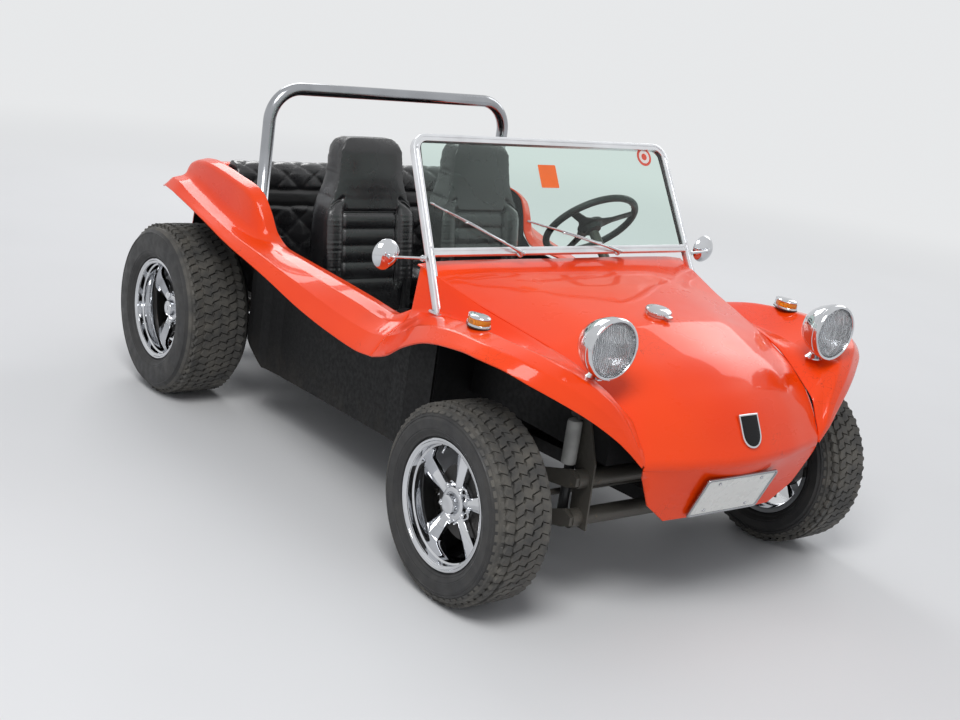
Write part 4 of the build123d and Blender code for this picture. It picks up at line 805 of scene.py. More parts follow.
def rim(wheel):
    # a polished barrel, five tapered spokes, a hub cap and the wheel nuts
    edge, plane = wheel["rimHalf"], rimForm["plane"]
    parts = [turned([(ring, hand * edge * 1000 + past) for ring, hand, past in barrel], rimForm["steps"])]
    # one spoke: a block cut down its middle, flared towards the rim and raised to a ridge
    spoke = reshaped(block(1, 0.5), Matrix.Diagonal((*rimForm["spoke"], 1)),
                     Matrix.Translation((rimForm["inner"], 0, plane)))
    openMesh(spoke)
    for cut in (tailWay, leftWay):
        selectPoints()
        bpy.ops.mesh.bisect(plane_co=(0.085, 0, 0), plane_no=cut)
    mesh = bmesh.from_edit_mesh(spoke.data)
    for vertex in mesh.verts:
        out = (vertex.co.x - rimForm["inner"]) / rimForm["spoke"][0]
        onRidge = abs(vertex.co.y) < 0.001
        vertex.co.y *= rimForm["root"] + (rimForm["tip"] - rimForm["root"]) * out ** 1.4
        if vertex.co.z > plane:
            vertex.co.z += (0.0125 if onRidge else 0.002) - 0.006 * out
    bmesh.update_edit_mesh(spoke.data)
    closeMesh()
    parts.append(repeated(bevelled(spoke, 0.0022, 2, 25), rimForm["nuts"]))
    hub = turned([(40, -13), (64, -13), (66.5, -10), (66.5, 4), (63, 10), (55, 12.5), (52, 24.5),
                  (49, 26.5), (38, 27), (36, 24), (34.5, 24), (33, 27), (32.5, 40), (30, 45.5), (24, 48.5),
                  (14, 50), (10, 48.5), (0, 49)])
    parts.append(reshaped(hub, Matrix.Translation((0, 0, plane))))
    for index in range(rimForm["nuts"]):
        foot = ringSpot(rimForm["nutRing"], 36 + 72 * index, plane + 0.006)
        parts += [peg(foot, upWay, 0, 0.004, 0.0135, 0.0008, 20),
                  peg(foot, upWay, 0.003, 0.021, 0.0105, 0.0012, 6),
                  peg(foot, upWay, 0.019, 0.0255, 0.0088, 0.0022, 16, 0.0055)]
    valveFoot = ringSpot(rimForm["valve"], 18, edge - 0.036)
    parts.append(bar(valveFoot, valveFoot + ringSpot(-0.022, 18, 0.016), 0.0035, 0.0008, 12))
    return joined(parts)


for end, wheel in wheels.items():
    for side, sideName in hands:
        place = (side * wheel["across"], wheel["along"], wheel["radius"])
        body = end + "_wheel_" + sideName.lower()
        for make, what, finishName, smooth in ((tyre, "Tyre", None, 30), (rim, "Rim", "chrome", 32)):
            node = "_".join((end, what, sideName)).lower()
            whole = placed(make(wheel), place, (side, 0, 0), upWay)
            finish(whole, end + what + sideName, finishName, (node,), smooth, body)
print("wheels done")


# seats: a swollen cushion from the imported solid, then its seams and pleats pressed in
def smoothStep(value, low, high):
    share = min(max((value - low) / (high - low), 0.0), 1.0)
    return share * share * (3 - 2 * share)


def stuffed(name, node, form):
    # voxel remesh of a merged copy, swollen by cloth pressure and held within a cap
    pad = skinOf(node)
    pad.name = name
    withModifier(pad, "REMESH", mode="VOXEL", voxel_size=form["voxel"])
    applyAll(pad)
    withModifier(pad, "SMOOTH", factor=0.5, iterations=form["rounds"])
    applyAll(pad)
    normals = [vertex.normal.copy() for vertex in pad.data.vertices]
    for vertex, normal in zip(pad.data.vertices, normals):
        vertex.co -= normal * form["shrink"]
    swell(pad, form)
    return pad


def swell(pad, form):
    before = [vertex.co.copy() for vertex in pad.data.vertices]
    pick(pad)
    cloth = withModifier(pad, "CLOTH")
    sewn = {"use_pressure": True, "uniform_pressure_force": form["pressure"], "quality": 2, "mass": 0.4,
            "tension_stiffness": 40, "compression_stiffness": 40, "bending_stiffness": 6}
    for setting, value in sewn.items():
        setattr(cloth.settings, setting, value)
    cloth.settings.effector_weights.gravity = 0
    cloth.point_cache.frame_start = 1
    cloth.point_cache.frame_end = form["frames"]
    for step in range(form["frames"]):
        bpy.context.scene.frame_set(step + 1)
    applyAll(pad)
    for vertex, start in zip(pad.data.vertices, before):
        move = vertex.co - start
        if move.length > form["cap"]:
            vertex.co = start + move.normalized() * form["cap"]
    bpy.context.scene.frame_set(1)


def groove(distance, width):
    return math.exp(-(distance / width) ** 2)


def pressed(pad, lift):
    # every point moves along its normal by what the seams and pleats ask there
    mesh = pad.data
    moves = [vertex.normal * lift(vertex.co, vertex.normal) for vertex in mesh.vertices]
    for vertex, move in zip(mesh.vertices, moves):
        vertex.co += move
    mesh.update()


bucket = {"middle": 0.270, "panel": 0.126, "half": 0.204, "panelTop": 0.900, "pleat": 0.064, "seam": 0.0075,
          "bolsterTop": 0.955, "bolsterLift": 0.020, "voxel": 0.0058, "shrink": 0.006, "pressure": 4.0,
          "cap": 0.011, "rounds": 5, "frames": 6, "shoulder": 0.80, "head": 1.190, "headBend": 0.075,
          "fill": 0.75}
# height and half width of the seat's back: shoulders that run into a rounded head
bucketTable = [(0.80, 0.204), (0.86, 0.203), (0.91, 0.195), (0.96, 0.177), (1.01, 0.161), (1.06, 0.153),
               (1.11, 0.149), (1.20, 0.145)]


def bucketHalf(height):
    knots, halves = zip(*bucketTable)
    half = naturalSpline(knots, halves, [min(max(height, knots[0]), knots[-1])])[0]
    bend = bucket["headBend"]
    over = min(max(height - (bucket["head"] - bend), 0.0), bend * 0.98)
    return half - bend + math.sqrt(bend ** 2 - over ** 2)


def plainHalf(height):
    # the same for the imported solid
    if height < 0.95:
        return 0.204
    if height < 1.05:
        return 0.204 - 0.066 * (height - 0.95) / 0.10
    return 0.138 - 0.022 * (height - 1.05) / 0.15


def headShaped(pad, middle):
    for vertex in pad.data.vertices:
        height = vertex.co.z
        if height > bucket["shoulder"]:
            scale = min(bucketHalf(height) / plainHalf(height), 1.16)
            if height > 1.15:
                thinned = plainHalf(height) - 0.03 * smoothStep(height, 1.15, 1.185)
                scale = min(scale, bucketHalf(height) / thinned)
            vertex.co.x = middle + (vertex.co.x - middle) * scale
    pad.data.update()


def pleats(place, top, deep, low):
    # how far the pleats lift the panel at a place along them
    wave = abs(math.cos(math.pi * (place - top) / bucket["pleat"]))
    return deep * wave ** 0.42 - low


def bucketLift(middle):
    def lift(spot, normal):
        panel, seam, panelTop = bucket["panel"], bucket["seam"], bucket["panelTop"]
        across = abs(spot.x - middle)
        back = smoothStep(-normal.y, 0.25, 0.7) * smoothStep(spot.z, 0.585, 0.64)
        seat = smoothStep(normal.z, 0.45, 0.8) * (1 - smoothStep(spot.z, 0.60, 0.64))
        inPanel = 1 - smoothStep(across, panel - 0.004, panel + 0.004)
        below = 1 - smoothStep(spot.z, panelTop - 0.004, panelTop + 0.004)
        amount = back * inPanel * below * pleats(spot.z, panelTop - bucket["pleat"] / 2, 0.0095, 0.0085)
        amount -= back * (1 - smoothStep(spot.z, 0.895, 0.935)) * 0.011 * groove(across - panel, seam)
        amount -= back * inPanel * 0.009 * groove(spot.z - panelTop, seam)
        share = (across - panel) / (bucket["half"] - panel)
        if share > 0:
            side = math.sin(math.pi * min(share, 1.0)) ** 0.7
            fade = 1 - smoothStep(spot.z, 0.86, bucket["bolsterTop"])
            ribs = math.sin(spot.z * 420.0 + math.sin(spot.z * 61.0) * 2.0)
            amount += back * side * fade * (bucket["bolsterLift"] + 0.0008 * ribs)
            amount -= back * 0.008 * groove(spot.z - bucket["bolsterTop"] + 0.05 * share, seam)
            amount += seat * side * 0.016
        head = smoothStep(spot.z, panelTop + 0.03, 1.05) * smoothStep(-normal.y, 0.2, 0.8)
        amount += head * 0.010 * max(0.0, 1 - (across / 0.15) ** 2)
        amount += seat * inPanel * pleats(spot.y, aft(1.30), 0.0085, 0.0075)
        return amount - seat * 0.011 * groove(across - panel, seam)
    return lift


def castOn(pad, points, way, lift):
    # the points of a seam, dropped on the pad's surface along a direction
    found = []
    way = Vector(way)
    for point in points:
        hit, spot, normal, index = pad.ray_cast(Vector(point) - way * 0.6, way)
        found.append(spot + normal * lift if hit else Vector(point))
    return found


def softPad(pad, node, finishName=None):
    pad = finish(pad, pad.name, finishName, (node,), 0)
    pick(pad)
    bpy.ops.object.shade_smooth()


for side, sideName in hands:
    node = "seat_" + sideName.lower()
    pad = stuffed("bucketPad" + sideName, node, bucket)
    middle = side * bucket["middle"]
    headShaped(pad, middle)
    pressed(pad, bucketLift(middle))
    pipes = []
    piped = (tailWay, -0.0005)
    for hand in (-1, 1):
        edge = middle + hand * bucket["panel"]
        rise = [(edge, aft(1.3), 0.62 + 0.31 * step / 13) for step in range(14)]
        bend = ((0.012, 0.945), (0.034, 0.942), (0.058, 0.920))
        rise += [(edge + hand * out, aft(1.3), high) for out, high in bend]
        pipes.append(tube(castOn(pad, rise, *piped), 0.0040, sides=8, steps=4))
    across = [(middle + bucket["panel"] * (-1 + step / 8), aft(1.3), bucket["panelTop"])
              for step in range(17)]
    pipes.append(tube(castOn(pad, across, *piped), 0.0034, sides=8, steps=4))
    finish(joined(pipes), "bucketPiping" + sideName, "piping", smooth=60)
    softPad(pad, node, "vinyl")
print("bucket seats done")

bench = {"voxel": 0.0068, "shrink": 0.005, "pressure": 4.0, "cap": 0.010, "rounds": 4, "frames": 6,
         "wide": 0.128, "high": 0.118, "rollFoot": 0.885, "bandFoot": 0.822, "seam": 0.0085, "tuft": 0.0095,
         "fill": 0.7}


def tufted(across, along):
    # pillows between two sets of slanted seams
    first, second = across / bench["wide"], along / bench["high"]
    pillow = abs(math.sin(math.pi * (first + second))) * abs(math.sin(math.pi * (first - second)))
    return bench["tuft"] * (pillow ** 0.26 - 0.8)


def benchLift(spot, normal):
    back = smoothStep(-normal.y, 0.1, 0.6) * smoothStep(spot.z, 0.615, 0.66)
    back = max(back, smoothStep(spot.z, 0.955, 0.985) * smoothStep(normal.z, 0.0, 0.5))
    seat = smoothStep(normal.z, 0.5, 0.85) * (1 - smoothStep(spot.z, 0.62, 0.66))
    height = spot.z - 0.002 if spot.z < 0.95 else spot.z + (spot.y - aft(1.89)) * 0.8
    inRoll = smoothStep(spot.z, bench["rollFoot"] - 0.003, bench["rollFoot"] + 0.006)
    inLow = 1 - smoothStep(spot.z, bench["bandFoot"] - 0.006, bench["bandFoot"] + 0.003)
    amount = back * (inRoll + inLow) * tufted(spot.x, height) + seat * tufted(spot.x, spot.y - aft(1.6))
    for line in (bench["rollFoot"], bench["bandFoot"]):
        amount -= back * 0.008 * groove(spot.z - line, bench["seam"])
    return amount


pad = stuffed("benchPad", "bench_seat", bench)
pressed(pad, benchLift)
# the plain band between the roll and the lower panel takes the darker vinyl: painted shade of its recess
colourFaces(pad, ["vinyl", "shadedBand"], lambda face: (
    1 if face.normal.y < -0.2 and bench["bandFoot"] < face.center.z < bench["rollFoot"] else 0))
softPad(pad, "bench_seat")
print("bench done")


def roundedBox(wide, high, corner, steps=6):
    # the corners of an upright rounded rectangle, anticlockwise
    spots = []
    for index, (signX, signY) in enumerate(((1, 1), (-1, 1), (-1, -1), (1, -1))):
        middle = Vector((signX * (wide / 2 - corner), signY * (high / 2 - corner), 0))
        spots += [(middle + ringSpot(corner, 90 * (index + step / steps))).xy for step in range(steps + 1)]
    return spots


def boltHead(place, way, radius=0.006, high=0.004, sides=6):
    # a washer and a bevelled head
    return joined([peg(place, way, 0, 0.0012, radius * 1.45, 0, 20),
                   peg(place, way, 0.001, 0.001 + high, radius, radius * 0.14, sides)])


def gridSheet(columns, rows):
    clearAll()
    bpy.ops.mesh.primitive_grid_add(x_subdivisions=columns, y_subdivisions=rows, size=2, location=(0, 0, 0))
    return settle(bpy.context.object)


# headlamps: a chrome bowl with its rim ring and reflector, a bulb, and a fluted glass
lamp = {"x": 0.501, "face": aft(-0.294), "high": 0.888, "glass": 0.0825, "flute": 0.0070,
        "fluteDeep": 0.0015, "dome": 0.0120, "wall": 0.0028, "zone": 0.027}
lampProfiles = {
    "shell": [(0, -118.5), (20, -117), (45, -106.5), (66, -87), (82, -60), (90.5, -37), (93.5, -27),
              (94.2, -18), (92.5, -16.5), (92.5, -14), (95.2, -12.5), (96.2, -6), (95.5, 0), (92.5, 4.2),
              (88.5, 5.6), (85.5, 4.5), (83.8, 1.5), (83, -6), (79, -12), (70, -30), (55, -47), (36, -60),
              (14, -67), (0, -68)],
    "stalk": [(0, 0), (30, 0), (30.5, 4), (23, 10), (15.5, 18), (13.5, 30), (13.5, 52), (0, 52)],
    "bulb": [(0, 0), (9, 0), (9, 12), (7.5, 20), (4, 26), (0, 27.5)],
    "bulbCap": [(0, 30), (10, 29.5), (13, 26), (13, 22), (11.5, 22), (0, 24.5)],
}


def lampGlass():
    sheet = gridSheet(190, 36)
    radius = lamp["glass"]
    for vertex in sheet.data.vertices:
        across = math.sin(vertex.co.x * math.pi / 2)
        up = vertex.co.y * math.sqrt(max(1 - across * across, 0.0))
        far = math.hypot(across, up)
        edge = smoothStep(1 - far, 0.03, 0.10)
        flute = abs(math.sin(math.pi * across * radius / lamp["flute"]))
        flute *= 0.5 if abs(up) < 0.30 and abs(across) < 0.62 else 1.0
        zone = 0.0012 * groove(abs(up * radius) - lamp["zone"], 0.0016)
        dome = lamp["dome"] * (1 - far ** 2.6)
        vertex.co = (across * radius, up * radius, dome - (lamp["fluteDeep"] * flute + zone) * edge)
    return walled(sheet, lamp["wall"], -1)


for side, sideName in hands:
    place = Vector((side * lamp["x"], lamp["face"], lamp["high"]))
    bowl = placed(turned(lampProfiles["shell"], 96), place, noseWay, leftWay)
    stalk = placed(turned(lampProfiles["stalk"], 36), (side * (lamp["x"] - 0.003), aft(-0.231), 0.7815))
    screw = boltHead(place + Vector((0, -0.001, -0.0905)), noseWay, 0.0032, 0.0025, 12)
    finish(joined([bowl, stalk, screw]), "headlampShell" + sideName, "chrome", ("lamp_shells",),
           30)
    bulb = joined([turned(lampProfiles["bulb"], 24), turned(lampProfiles["bulbCap"], 24)])
    finish(placed(bulb, place + Vector((0, 0.066, 0)), noseWay), "headlampBulb" + sideName, "chrome")
    finish(placed(lampGlass(), place, noseWay, leftWay), "headlampGlass" + sideName, "lampGlass",
           ("headlamp_lenses",))
print("headlamps done")

# turn lamps: a teardrop with a chrome cap and tail, and an amber lens round its front
turnLamp = {"x": 0.704, "along": aft(0.092), "high": 0.8525, "half": 0.031, "front": 0.040, "tail": 0.058,
            "corners": 48, "lensEnd": 0.040}


def teardrop(grow=0.0):
    spots = []
    for step in range(turnLamp["corners"]):
        angle = 2 * math.pi * step / turnLamp["corners"]
        across, ahead = (turnLamp["half"] + grow) * math.sin(angle), math.cos(angle)
        if ahead <= 0:
            across *= 1 - 0.45 * smoothStep(-ahead, 0.1, 1.0)
        spots.append((across, -(turnLamp["front" if ahead > 0 else "tail"] + grow) * ahead))
    return spots[::-1]


for side, sideName in hands:
    gasket = raised(teardrop(0.003), [(0, 1.0), (2.5, 1.0), (3.5, 0.975)])
    base = raised(teardrop(0.0015), [(3, 1.0), (8.5, 1.0), (10, 0.975)])
    wall = raised(teardrop(), [(9, 0.96), (11, 0.985), (16, 1.0), (22, 0.985), (28.5, 0.93)])
    cap = raised(teardrop(0.0012), [(27.5, 0.93), (29.5, 0.955), (31.5, 0.94), (34.5, 0.86), (37, 0.70),
                                    (38.5, 0.46), (39.2, 0.22)])
    colourFaces(wall, ["chrome", "amber"], lambda face: 1 if face.center.y < turnLamp["lensEnd"] else 0)
    seat = [(side * turnLamp["x"], turnLamp["along"], turnLamp["high"])]
    parts = [(gasket, "lead"), (base, "chrome"), (wall, None), (cap, "chrome")]
    assembled("turnLamp" + sideName, parts, seat, ("turn_lenses",))

# filler cap: a low chrome lid with a milled rim and its catch
fuelCap = {"foot": (0, aft(0.044), 0.8741), "lean": (0, -0.1257, 0.9921), "knurls": 36, "knurlRing": 0.0442}
lid = turned([(0, 0), (37, 0), (37, 7.5), (42.5, 9), (44.5, 11.5), (44.5, 16.5), (42.5, 20.5), (35, 24.5),
              (21, 27), (0, 27.8)], 60)
catch = slab((-0.013, -0.060, 0.006), (0.013, -0.039, 0.0165), 0.003)
knurls = []
for step in range(fuelCap["knurls"]):
    spot = ringSpot(fuelCap["knurlRing"], 360 * step / fuelCap["knurls"], 0.0105)
    knurls.append(peg(spot, upWay, 0, 0.007, 0.0014, 0, 6))
whole = joined([lid, catch, *knurls])
finish(placed(whole, fuelCap["foot"], fuelCap["lean"], leftWay), "fillerCap", "chrome",
       ("fuel_cap",), 35)

# badge: a bare enamel shield in a chrome edge
badge = {"foot": (0, aft(-0.4368), 0.6383), "lean": (0, -0.8756, 0.4831), "half": 0.042, "top": 0.054,
         "steps": 13}
half, top = badge["half"], badge["top"]
crest = [(-half, top), (0, top + 0.0004), (half, top), (half, 0.018), (half, -0.004)]
for step in range(1, badge["steps"]):
    angle = math.pi * step / badge["steps"]
    crest.append((half * math.cos(angle), -0.006 - (top - 0.006) * math.sin(angle) ** 0.85))
crest = (crest + [(-half, -0.004), (-half, 0.018)])[::-1]
edge = raised(crest, [(0, 1.0), (6.5, 1.0), (7.8, 0.975), (7.8, 0.90), (6.4, 0.885)])
enamel = raised(crest, [(6, 0.89), (6.5, 0.885), (7, 0.83), (7.5, 0.60), (7.7, 0.25)])
assembled("noseBadge", [(edge, "chrome"), (enamel, "badgeEnamel")], (badge["foot"], badge["lean"], leftWay),
          ("nose_badge",), 30)

# number plate: a bare pressed plate in a steel ring, held by four bolts
plate = {"seat": (0, aft(-0.4156), 0.424), "lean": (0, -0.9166, -0.3996), "wide": 0.318, "high": 0.166,
         "ring": 0.0040, "boltX": 0.095, "boltY": 0.058}


def plateBox(inset, corner):
    return roundedBox(plate["wide"] - inset, plate["high"] - inset, corner)


backing = raised(plateBox(0, 0.012), [(0.6, 1.0), (2.8, 1.0)])
ring = tube([(x, y, 0.0044) for x, y in plateBox(0.008, 0.010)], plate["ring"], True, 8, kind="POLY")
sheetMetal = raised(plateBox(0.016, 0.008), [(3, 1.0), (4.2, 1.0), (4.4, 0.97), (5.2, 0.962), (5.2, 0.955),
                                             (4.4, 0.948)])
bolts = [boltHead((x, y, 0.0042), upWay, 0.0048, 0.003)
         for x in (-plate["boltX"], plate["boltX"]) for y in (-plate["boltY"], plate["boltY"])]
assembled("numberPlate", [(backing, "stainless"), (ring, "stainless"), (sheetMetal, "plateWhite"),
                          *((bolt, "chrome") for bolt in bolts)],
          (plate["seat"], plate["lean"], leftWay), ("number_plate",), 30)
print("nose trim done")

# windshield frame: a grooved aluminium section bent over the top, whose legs run on down to
# the body, and a lower rail between them
shield = {"footHalf": 0.603, "topHalf": 0.577, "rise": 0.4139, "leg": -0.196, "bend": 0.049, "half": 0.013,
          "deep": 0.0125, "slot": 0.0032, "soft": 0.0028, "foot": aft(0.536), "high": 0.955}
glassOut = Vector((0, -0.8597, 0.5107))
glassUp = Vector((0, 0.5107, 0.8597))


def onGlass(across, rise, lift=0.0):
    return Vector((across, shield["foot"], shield["high"])) + glassUp * rise + glassOut * lift


def frameSection():
    # across the section is x, out of the glass is y: rounded corners and a slot in the front face
    half, deep, slot, soft = shield["half"], shield["deep"], shield["slot"], shield["soft"]
    corners = [(-slot, deep), (-slot, deep - 0.003), (slot, deep - 0.003), (slot, deep)]
    for x, y in ((1, 1), (1, -1), (-1, -1), (-1, 1)):
        turn = [(x * (half - soft), y * deep), (x * (half - soft * 0.3), y * (deep - soft * 0.3)),
                (x * half, y * (deep - soft))]
        corners += turn if x == y else turn[::-1]
    return drawn("frameSection", [(*corner, 0.0) for corner in corners], closed=True, dimensions="2D")


def sectionAlong(points, section):
    return settle(drawn("frameRoute", [(*point, 0.0) for point in points], dimensions="3D",
                        twist_mode="Z_UP", bevel_mode="OBJECT", bevel_object=section, use_fill_caps=True))


legOut = (shield["footHalf"] - shield["topHalf"]) / shield["rise"] * shield["leg"] * 0.3
arch = [(-shield["footHalf"] + legOut, shield["leg"]), (-shield["topHalf"], shield["rise"]),
        (shield["topHalf"], shield["rise"]), (shield["footHalf"] - legOut, shield["leg"])]
section = frameSection()
over = sectionAlong(roundedPath(arch, [shield["bend"]] * 2, 14, 2), section)
rail = sectionAlong([(-shield["footHalf"] + 0.010, 0.013), (shield["footHalf"] - 0.010, 0.013)], section)
screws = [peg((x, rise, 0), upWay, 0.0120, 0.0140, 0.0036, 0.0006, 12)
          for x, rise in ((-0.597, 0.03), (0.597, 0.03), (-0.578, 0.38), (0.578, 0.38))]
glassTurn = Matrix((leftWay, glassUp, glassOut)).transposed().to_4x4()
whole = reshaped(joined([over, rail, *screws]), Matrix.Translation(onGlass(0, 0)) @ glassTurn)
bpy.data.objects.remove(section)
finish(whole, "windshieldFrame", "aluminium", ("windshield_frame",), 30)
feet = []
for side in (-1, 1):
    spot = onGlass(side * (shield["footHalf"] + 0.006), shield["leg"] + 0.004)
    feet.append(reshaped(slab((-0.016, -0.026, -0.004), (0.020, 0.026, 0.002), 0.0015),
                         Matrix.Translation(spot)))
    feet += [boltHead(spot + Vector((side * 0.014, along, 0.002)), upWay, 0.0055)
             for along in (-0.019, 0.019)]
finish(joined(feet), "windshieldFeet", "aluminium", (), 30)

# wipers: a pivot, an arm in two lengths with its hook, and a blade on a bow with five claws
wiper = {"Right": (-0.228, 0.0, -0.562, 0.184), "Left": (0.228, 0.0, -0.157, 0.120), "hold": 0.60,
         "inset": 0.14, "bow": 0.0065, "claws": (0.04, 0.30, 0.55, 0.80, 0.97)}
for sideName in ("Right", "Left"):
    footX, footRise, tipX, tipRise = wiper[sideName]
    knee = onGlass(footX, footRise, 0.027)
    along = (onGlass(tipX, tipRise) - onGlass(footX, footRise)).normalized()
    pivot = placed(turned([(0, 0), (13.5, 0), (13.5, 4), (9, 7), (9, 14), (7.8, 16.5), (0, 17.5)], 32),
                   onGlass(footX, footRise, 0.0135), glassOut)
    share = wiper["hold"]
    hold = onGlass(footX + share * (tipX - footX), footRise + share * (tipRise - footRise), 0.017)
    heel = knee + along * 0.050
    arm = bar(knee - along * 0.012, heel, 0.0070, 0.002, 16, 0.0055)
    reach = bar(heel - along * 0.004, hold, 0.0042, 0.001, 12, 0.0028)
    hook = bar(hold - along * 0.002, hold - glassOut * 0.0065 + along * 0.006, 0.0036, 0.001, 10)
    start = onGlass(footX + wiper["inset"] * (tipX - footX), 0.016 + wiper["inset"] * tipRise, 0.0075)
    end = onGlass(tipX, tipRise, 0.0075)
    way = (end - start).normalized()
    spine = bar(start, end, 0.0034, 0.0008, 8)
    near, far = (start.lerp(end, share) + glassOut * wiper["bow"] for share in (0.35, 0.65))
    bow = tube([start + way * 0.05, near, far, end - way * 0.05], 0.0026, sides=8)
    claws = [peg(start.lerp(end, share), way, -0.006, 0.006, 0.0046, 0.001, 10) for share in wiper["claws"]]
    finish(joined([pivot, arm, reach, hook, spine, bow, *claws]), "wiperArm" + sideName, "wiperSteel",
           ("wipers",), 35)
    rubber = bar(start - glassOut * 0.0026, end - glassOut * 0.0026, 0.0024, 0, 6)
    finish(rubber, "wiperRubber" + sideName, "lead", (), 35)

# two bare stickers on the glass
sticker = {"orange": (-0.018, 0.288, 0.00265), "round": (0.477, 0.375, 0.00265),
           "ring": (0.477, 0.375, 0.00300), "wide": 0.082, "high": 0.086}
note = raised(roundedBox(sticker["wide"], sticker["high"], 0.004, 3), [(0, 1.0), (0.3, 1.0)])
disc = turned([(0, 0), (36, 0), (36, 0.3), (0, 0.3)], 40)
ring = turned([(13.5, 0), (25.92, 0), (25.92, 0.3), (13.5, 0.3), (13.5, 0)], 40)
for piece, spot, name, finishName in ((note, "orange", "glassNote", "stickerOrange"),
                                      (disc, "round", "glassDisc", "stickerRed"),
                                      (ring, "ring", "glassDiscRing", "paper")):
    finish(placed(piece, onGlass(*sticker[spot]), glassOut, leftWay), name, finishName, (), 30)

# the rubber seal between glass and frame, a tube round the opening
seal = {"low": 0.5865, "top": 0.5605}
loop = [(seal["low"] - 0.02, 0.0165), (seal["low"] - 0.004, 0.022), (seal["low"] - 0.0025, 0.04),
        (seal["top"] + 0.001, 0.37), (seal["top"] - 0.006, 0.398), (seal["top"] - 0.035, 0.4105)]
loop = [(-x, rise) for x, rise in loop[:1]] + loop + [(-x, rise) for x, rise in reversed(loop[1:])]
finish(tube([onGlass(x, rise) for x, rise in loop], 0.0052, True, 10, 6), "glassSeal", "lead", (), 50)
print("windshield dressed")

# cockpit
handWheel = {"centre": (0.322, aft(0.790), 0.998), "up": (0, 0.7313537, 0.6819984), "radius": 0.182,
             "grip": 13.5, "stitches": 40, "stitchRing": 0.0132}
spokeLine = ((0.052, 0.030), (0.085, 0.018), (handWheel["radius"] - 0.004, 0.015))


def wheelPad():
    # a padded boss with three drooping spokes, widened where they leave the boss
    outline = []
    for spokeAngle in (90, 210, 330):
        for hand, line in ((-1, spokeLine), (1, spokeLine[::-1])):
            outline += [ringSpot(far, spokeAngle) + ringSpot(hand * wide, spokeAngle + 90)
                        for far, wide in line]
    return bevelled(raised(outline, [(-7.5, 1.0), (0.5, 1.0)]), 0.0032, 3, 40)


gripRing = [ringSpot(handWheel["grip"], 20 * step).xy + Vector((handWheel["radius"] * 1000, 0))
            for step in range(18)]
wheelRim = turned(gripRing, 96, True)
boss = turned([(0, -26), (33, -26), (34, -20), (40, -10), (52, -6), (53.5, 1), (50, 6.5), (40, 8.5),
               (38.5, 7), (36, 7), (34, 8.8), (18, 11.2), (0, 11.8)], 48)
stitched = []
for step in range(handWheel["stitches"]):
    spot = ringSpot(handWheel["radius"] - handWheel["stitchRing"], 360 * step / handWheel["stitches"])
    stitched.append(peg(spot, upWay, -0.0015, 0.0015, 0.0022, 0.0006, 6))
whole = placed(joined([wheelRim, wheelPad(), boss, *stitched]), handWheel["centre"], handWheel["up"],
               leftWay)
finish(whole, "steeringWheel", "softBlack", ("steering_wheel",), 40, "hand_wheel")

mirror = {"x": 0.740, "glassAt": -0.502, "high": 0.952, "postX": 0.617, "postAt": aft(0.536)}
for side, sideName in hands:
    place = Vector((side * mirror["x"], mirror["glassAt"], mirror["high"]))
    post = Vector((side * mirror["postX"], mirror["postAt"], mirror["high"] - 0.003))
    outWay = (side, 0, 0)
    bowl = turned([(0, 24.5), (14, 24.2), (27, 22), (38, 17), (46.5, 10), (50.8, 3.5), (52.2, 1),
                   (52.2, -1.5), (50.8, -3), (48.2, -3), (47.4, -1.5), (47.4, 1), (0, 1)], 64)
    glass = turned([(0, -0.8), (47.2, -0.8), (47.2, 0.6), (0, 0.6)], 48)
    stem = tube([post + Vector((side * 0.002, 0, 0)), post + Vector((side * 0.040, 0.001, 0.002)),
                 *(place + Vector((-side * inset, -behind, 0))
                   for inset, behind in ((0.030, 0.040), (0.006, 0.034), (0, 0.022)))], 0.0048, sides=12,
                steps=8)
    parts = [placed(bowl, place, noseWay, leftWay), stem, peg(post, outWay, 0, 0.012, 0.0105, 0.0015, 20),
             peg(post, outWay, 0.012, 0.018, 0.0078, 0.001, 6),
             peg(place, noseWay, 0.0225, 0.0345, 0.0095, 0.0028, 20)]
    assembled("doorMirror" + sideName, [*((part, "chrome") for part in parts),
                                        (placed(glass, place, noseWay, leftWay), "mirrorGlass")],
              (), ("mirror_" + sideName.lower(),))

lever = {"foot": (0, aft(0.930), 0.3872), "knob": (0, aft(0.956), 0.560)}
boot = turned([(30, 0), (30, 4), (26.5, 8), (28, 12), (22.5, 18), (24, 22), (18, 29), (19.5, 33),
               (13.5, 42), (12, 52), (0, 52)], 36)
stalk = bar((0, aft(0.936), 0.43), lever["knob"], 0.0062, 0.0, 14)
knob = turned([(0, -21), (9, -20), (16.5, -14), (20.5, -4), (20.8, 4), (18, 12.5), (11, 18.5), (0, 21)], 32)
assembled("gearLever", [(placed(boot, lever["foot"], (0, 0.12, 1), leftWay), "lead"), (stalk, "chrome"),
                        (placed(knob, lever["knob"], (0, 0.13, 1), leftWay), "softBlack")],
          (), ("gear_lever",), 50)

# instruments on the dash: bezels, dark dials with bare ticks, a needle each, then knobs and a grab rail
dash = {"face": aft(0.5600), "tickRow": (0.78, 0.92), "sweep": 270, "zero": 225}
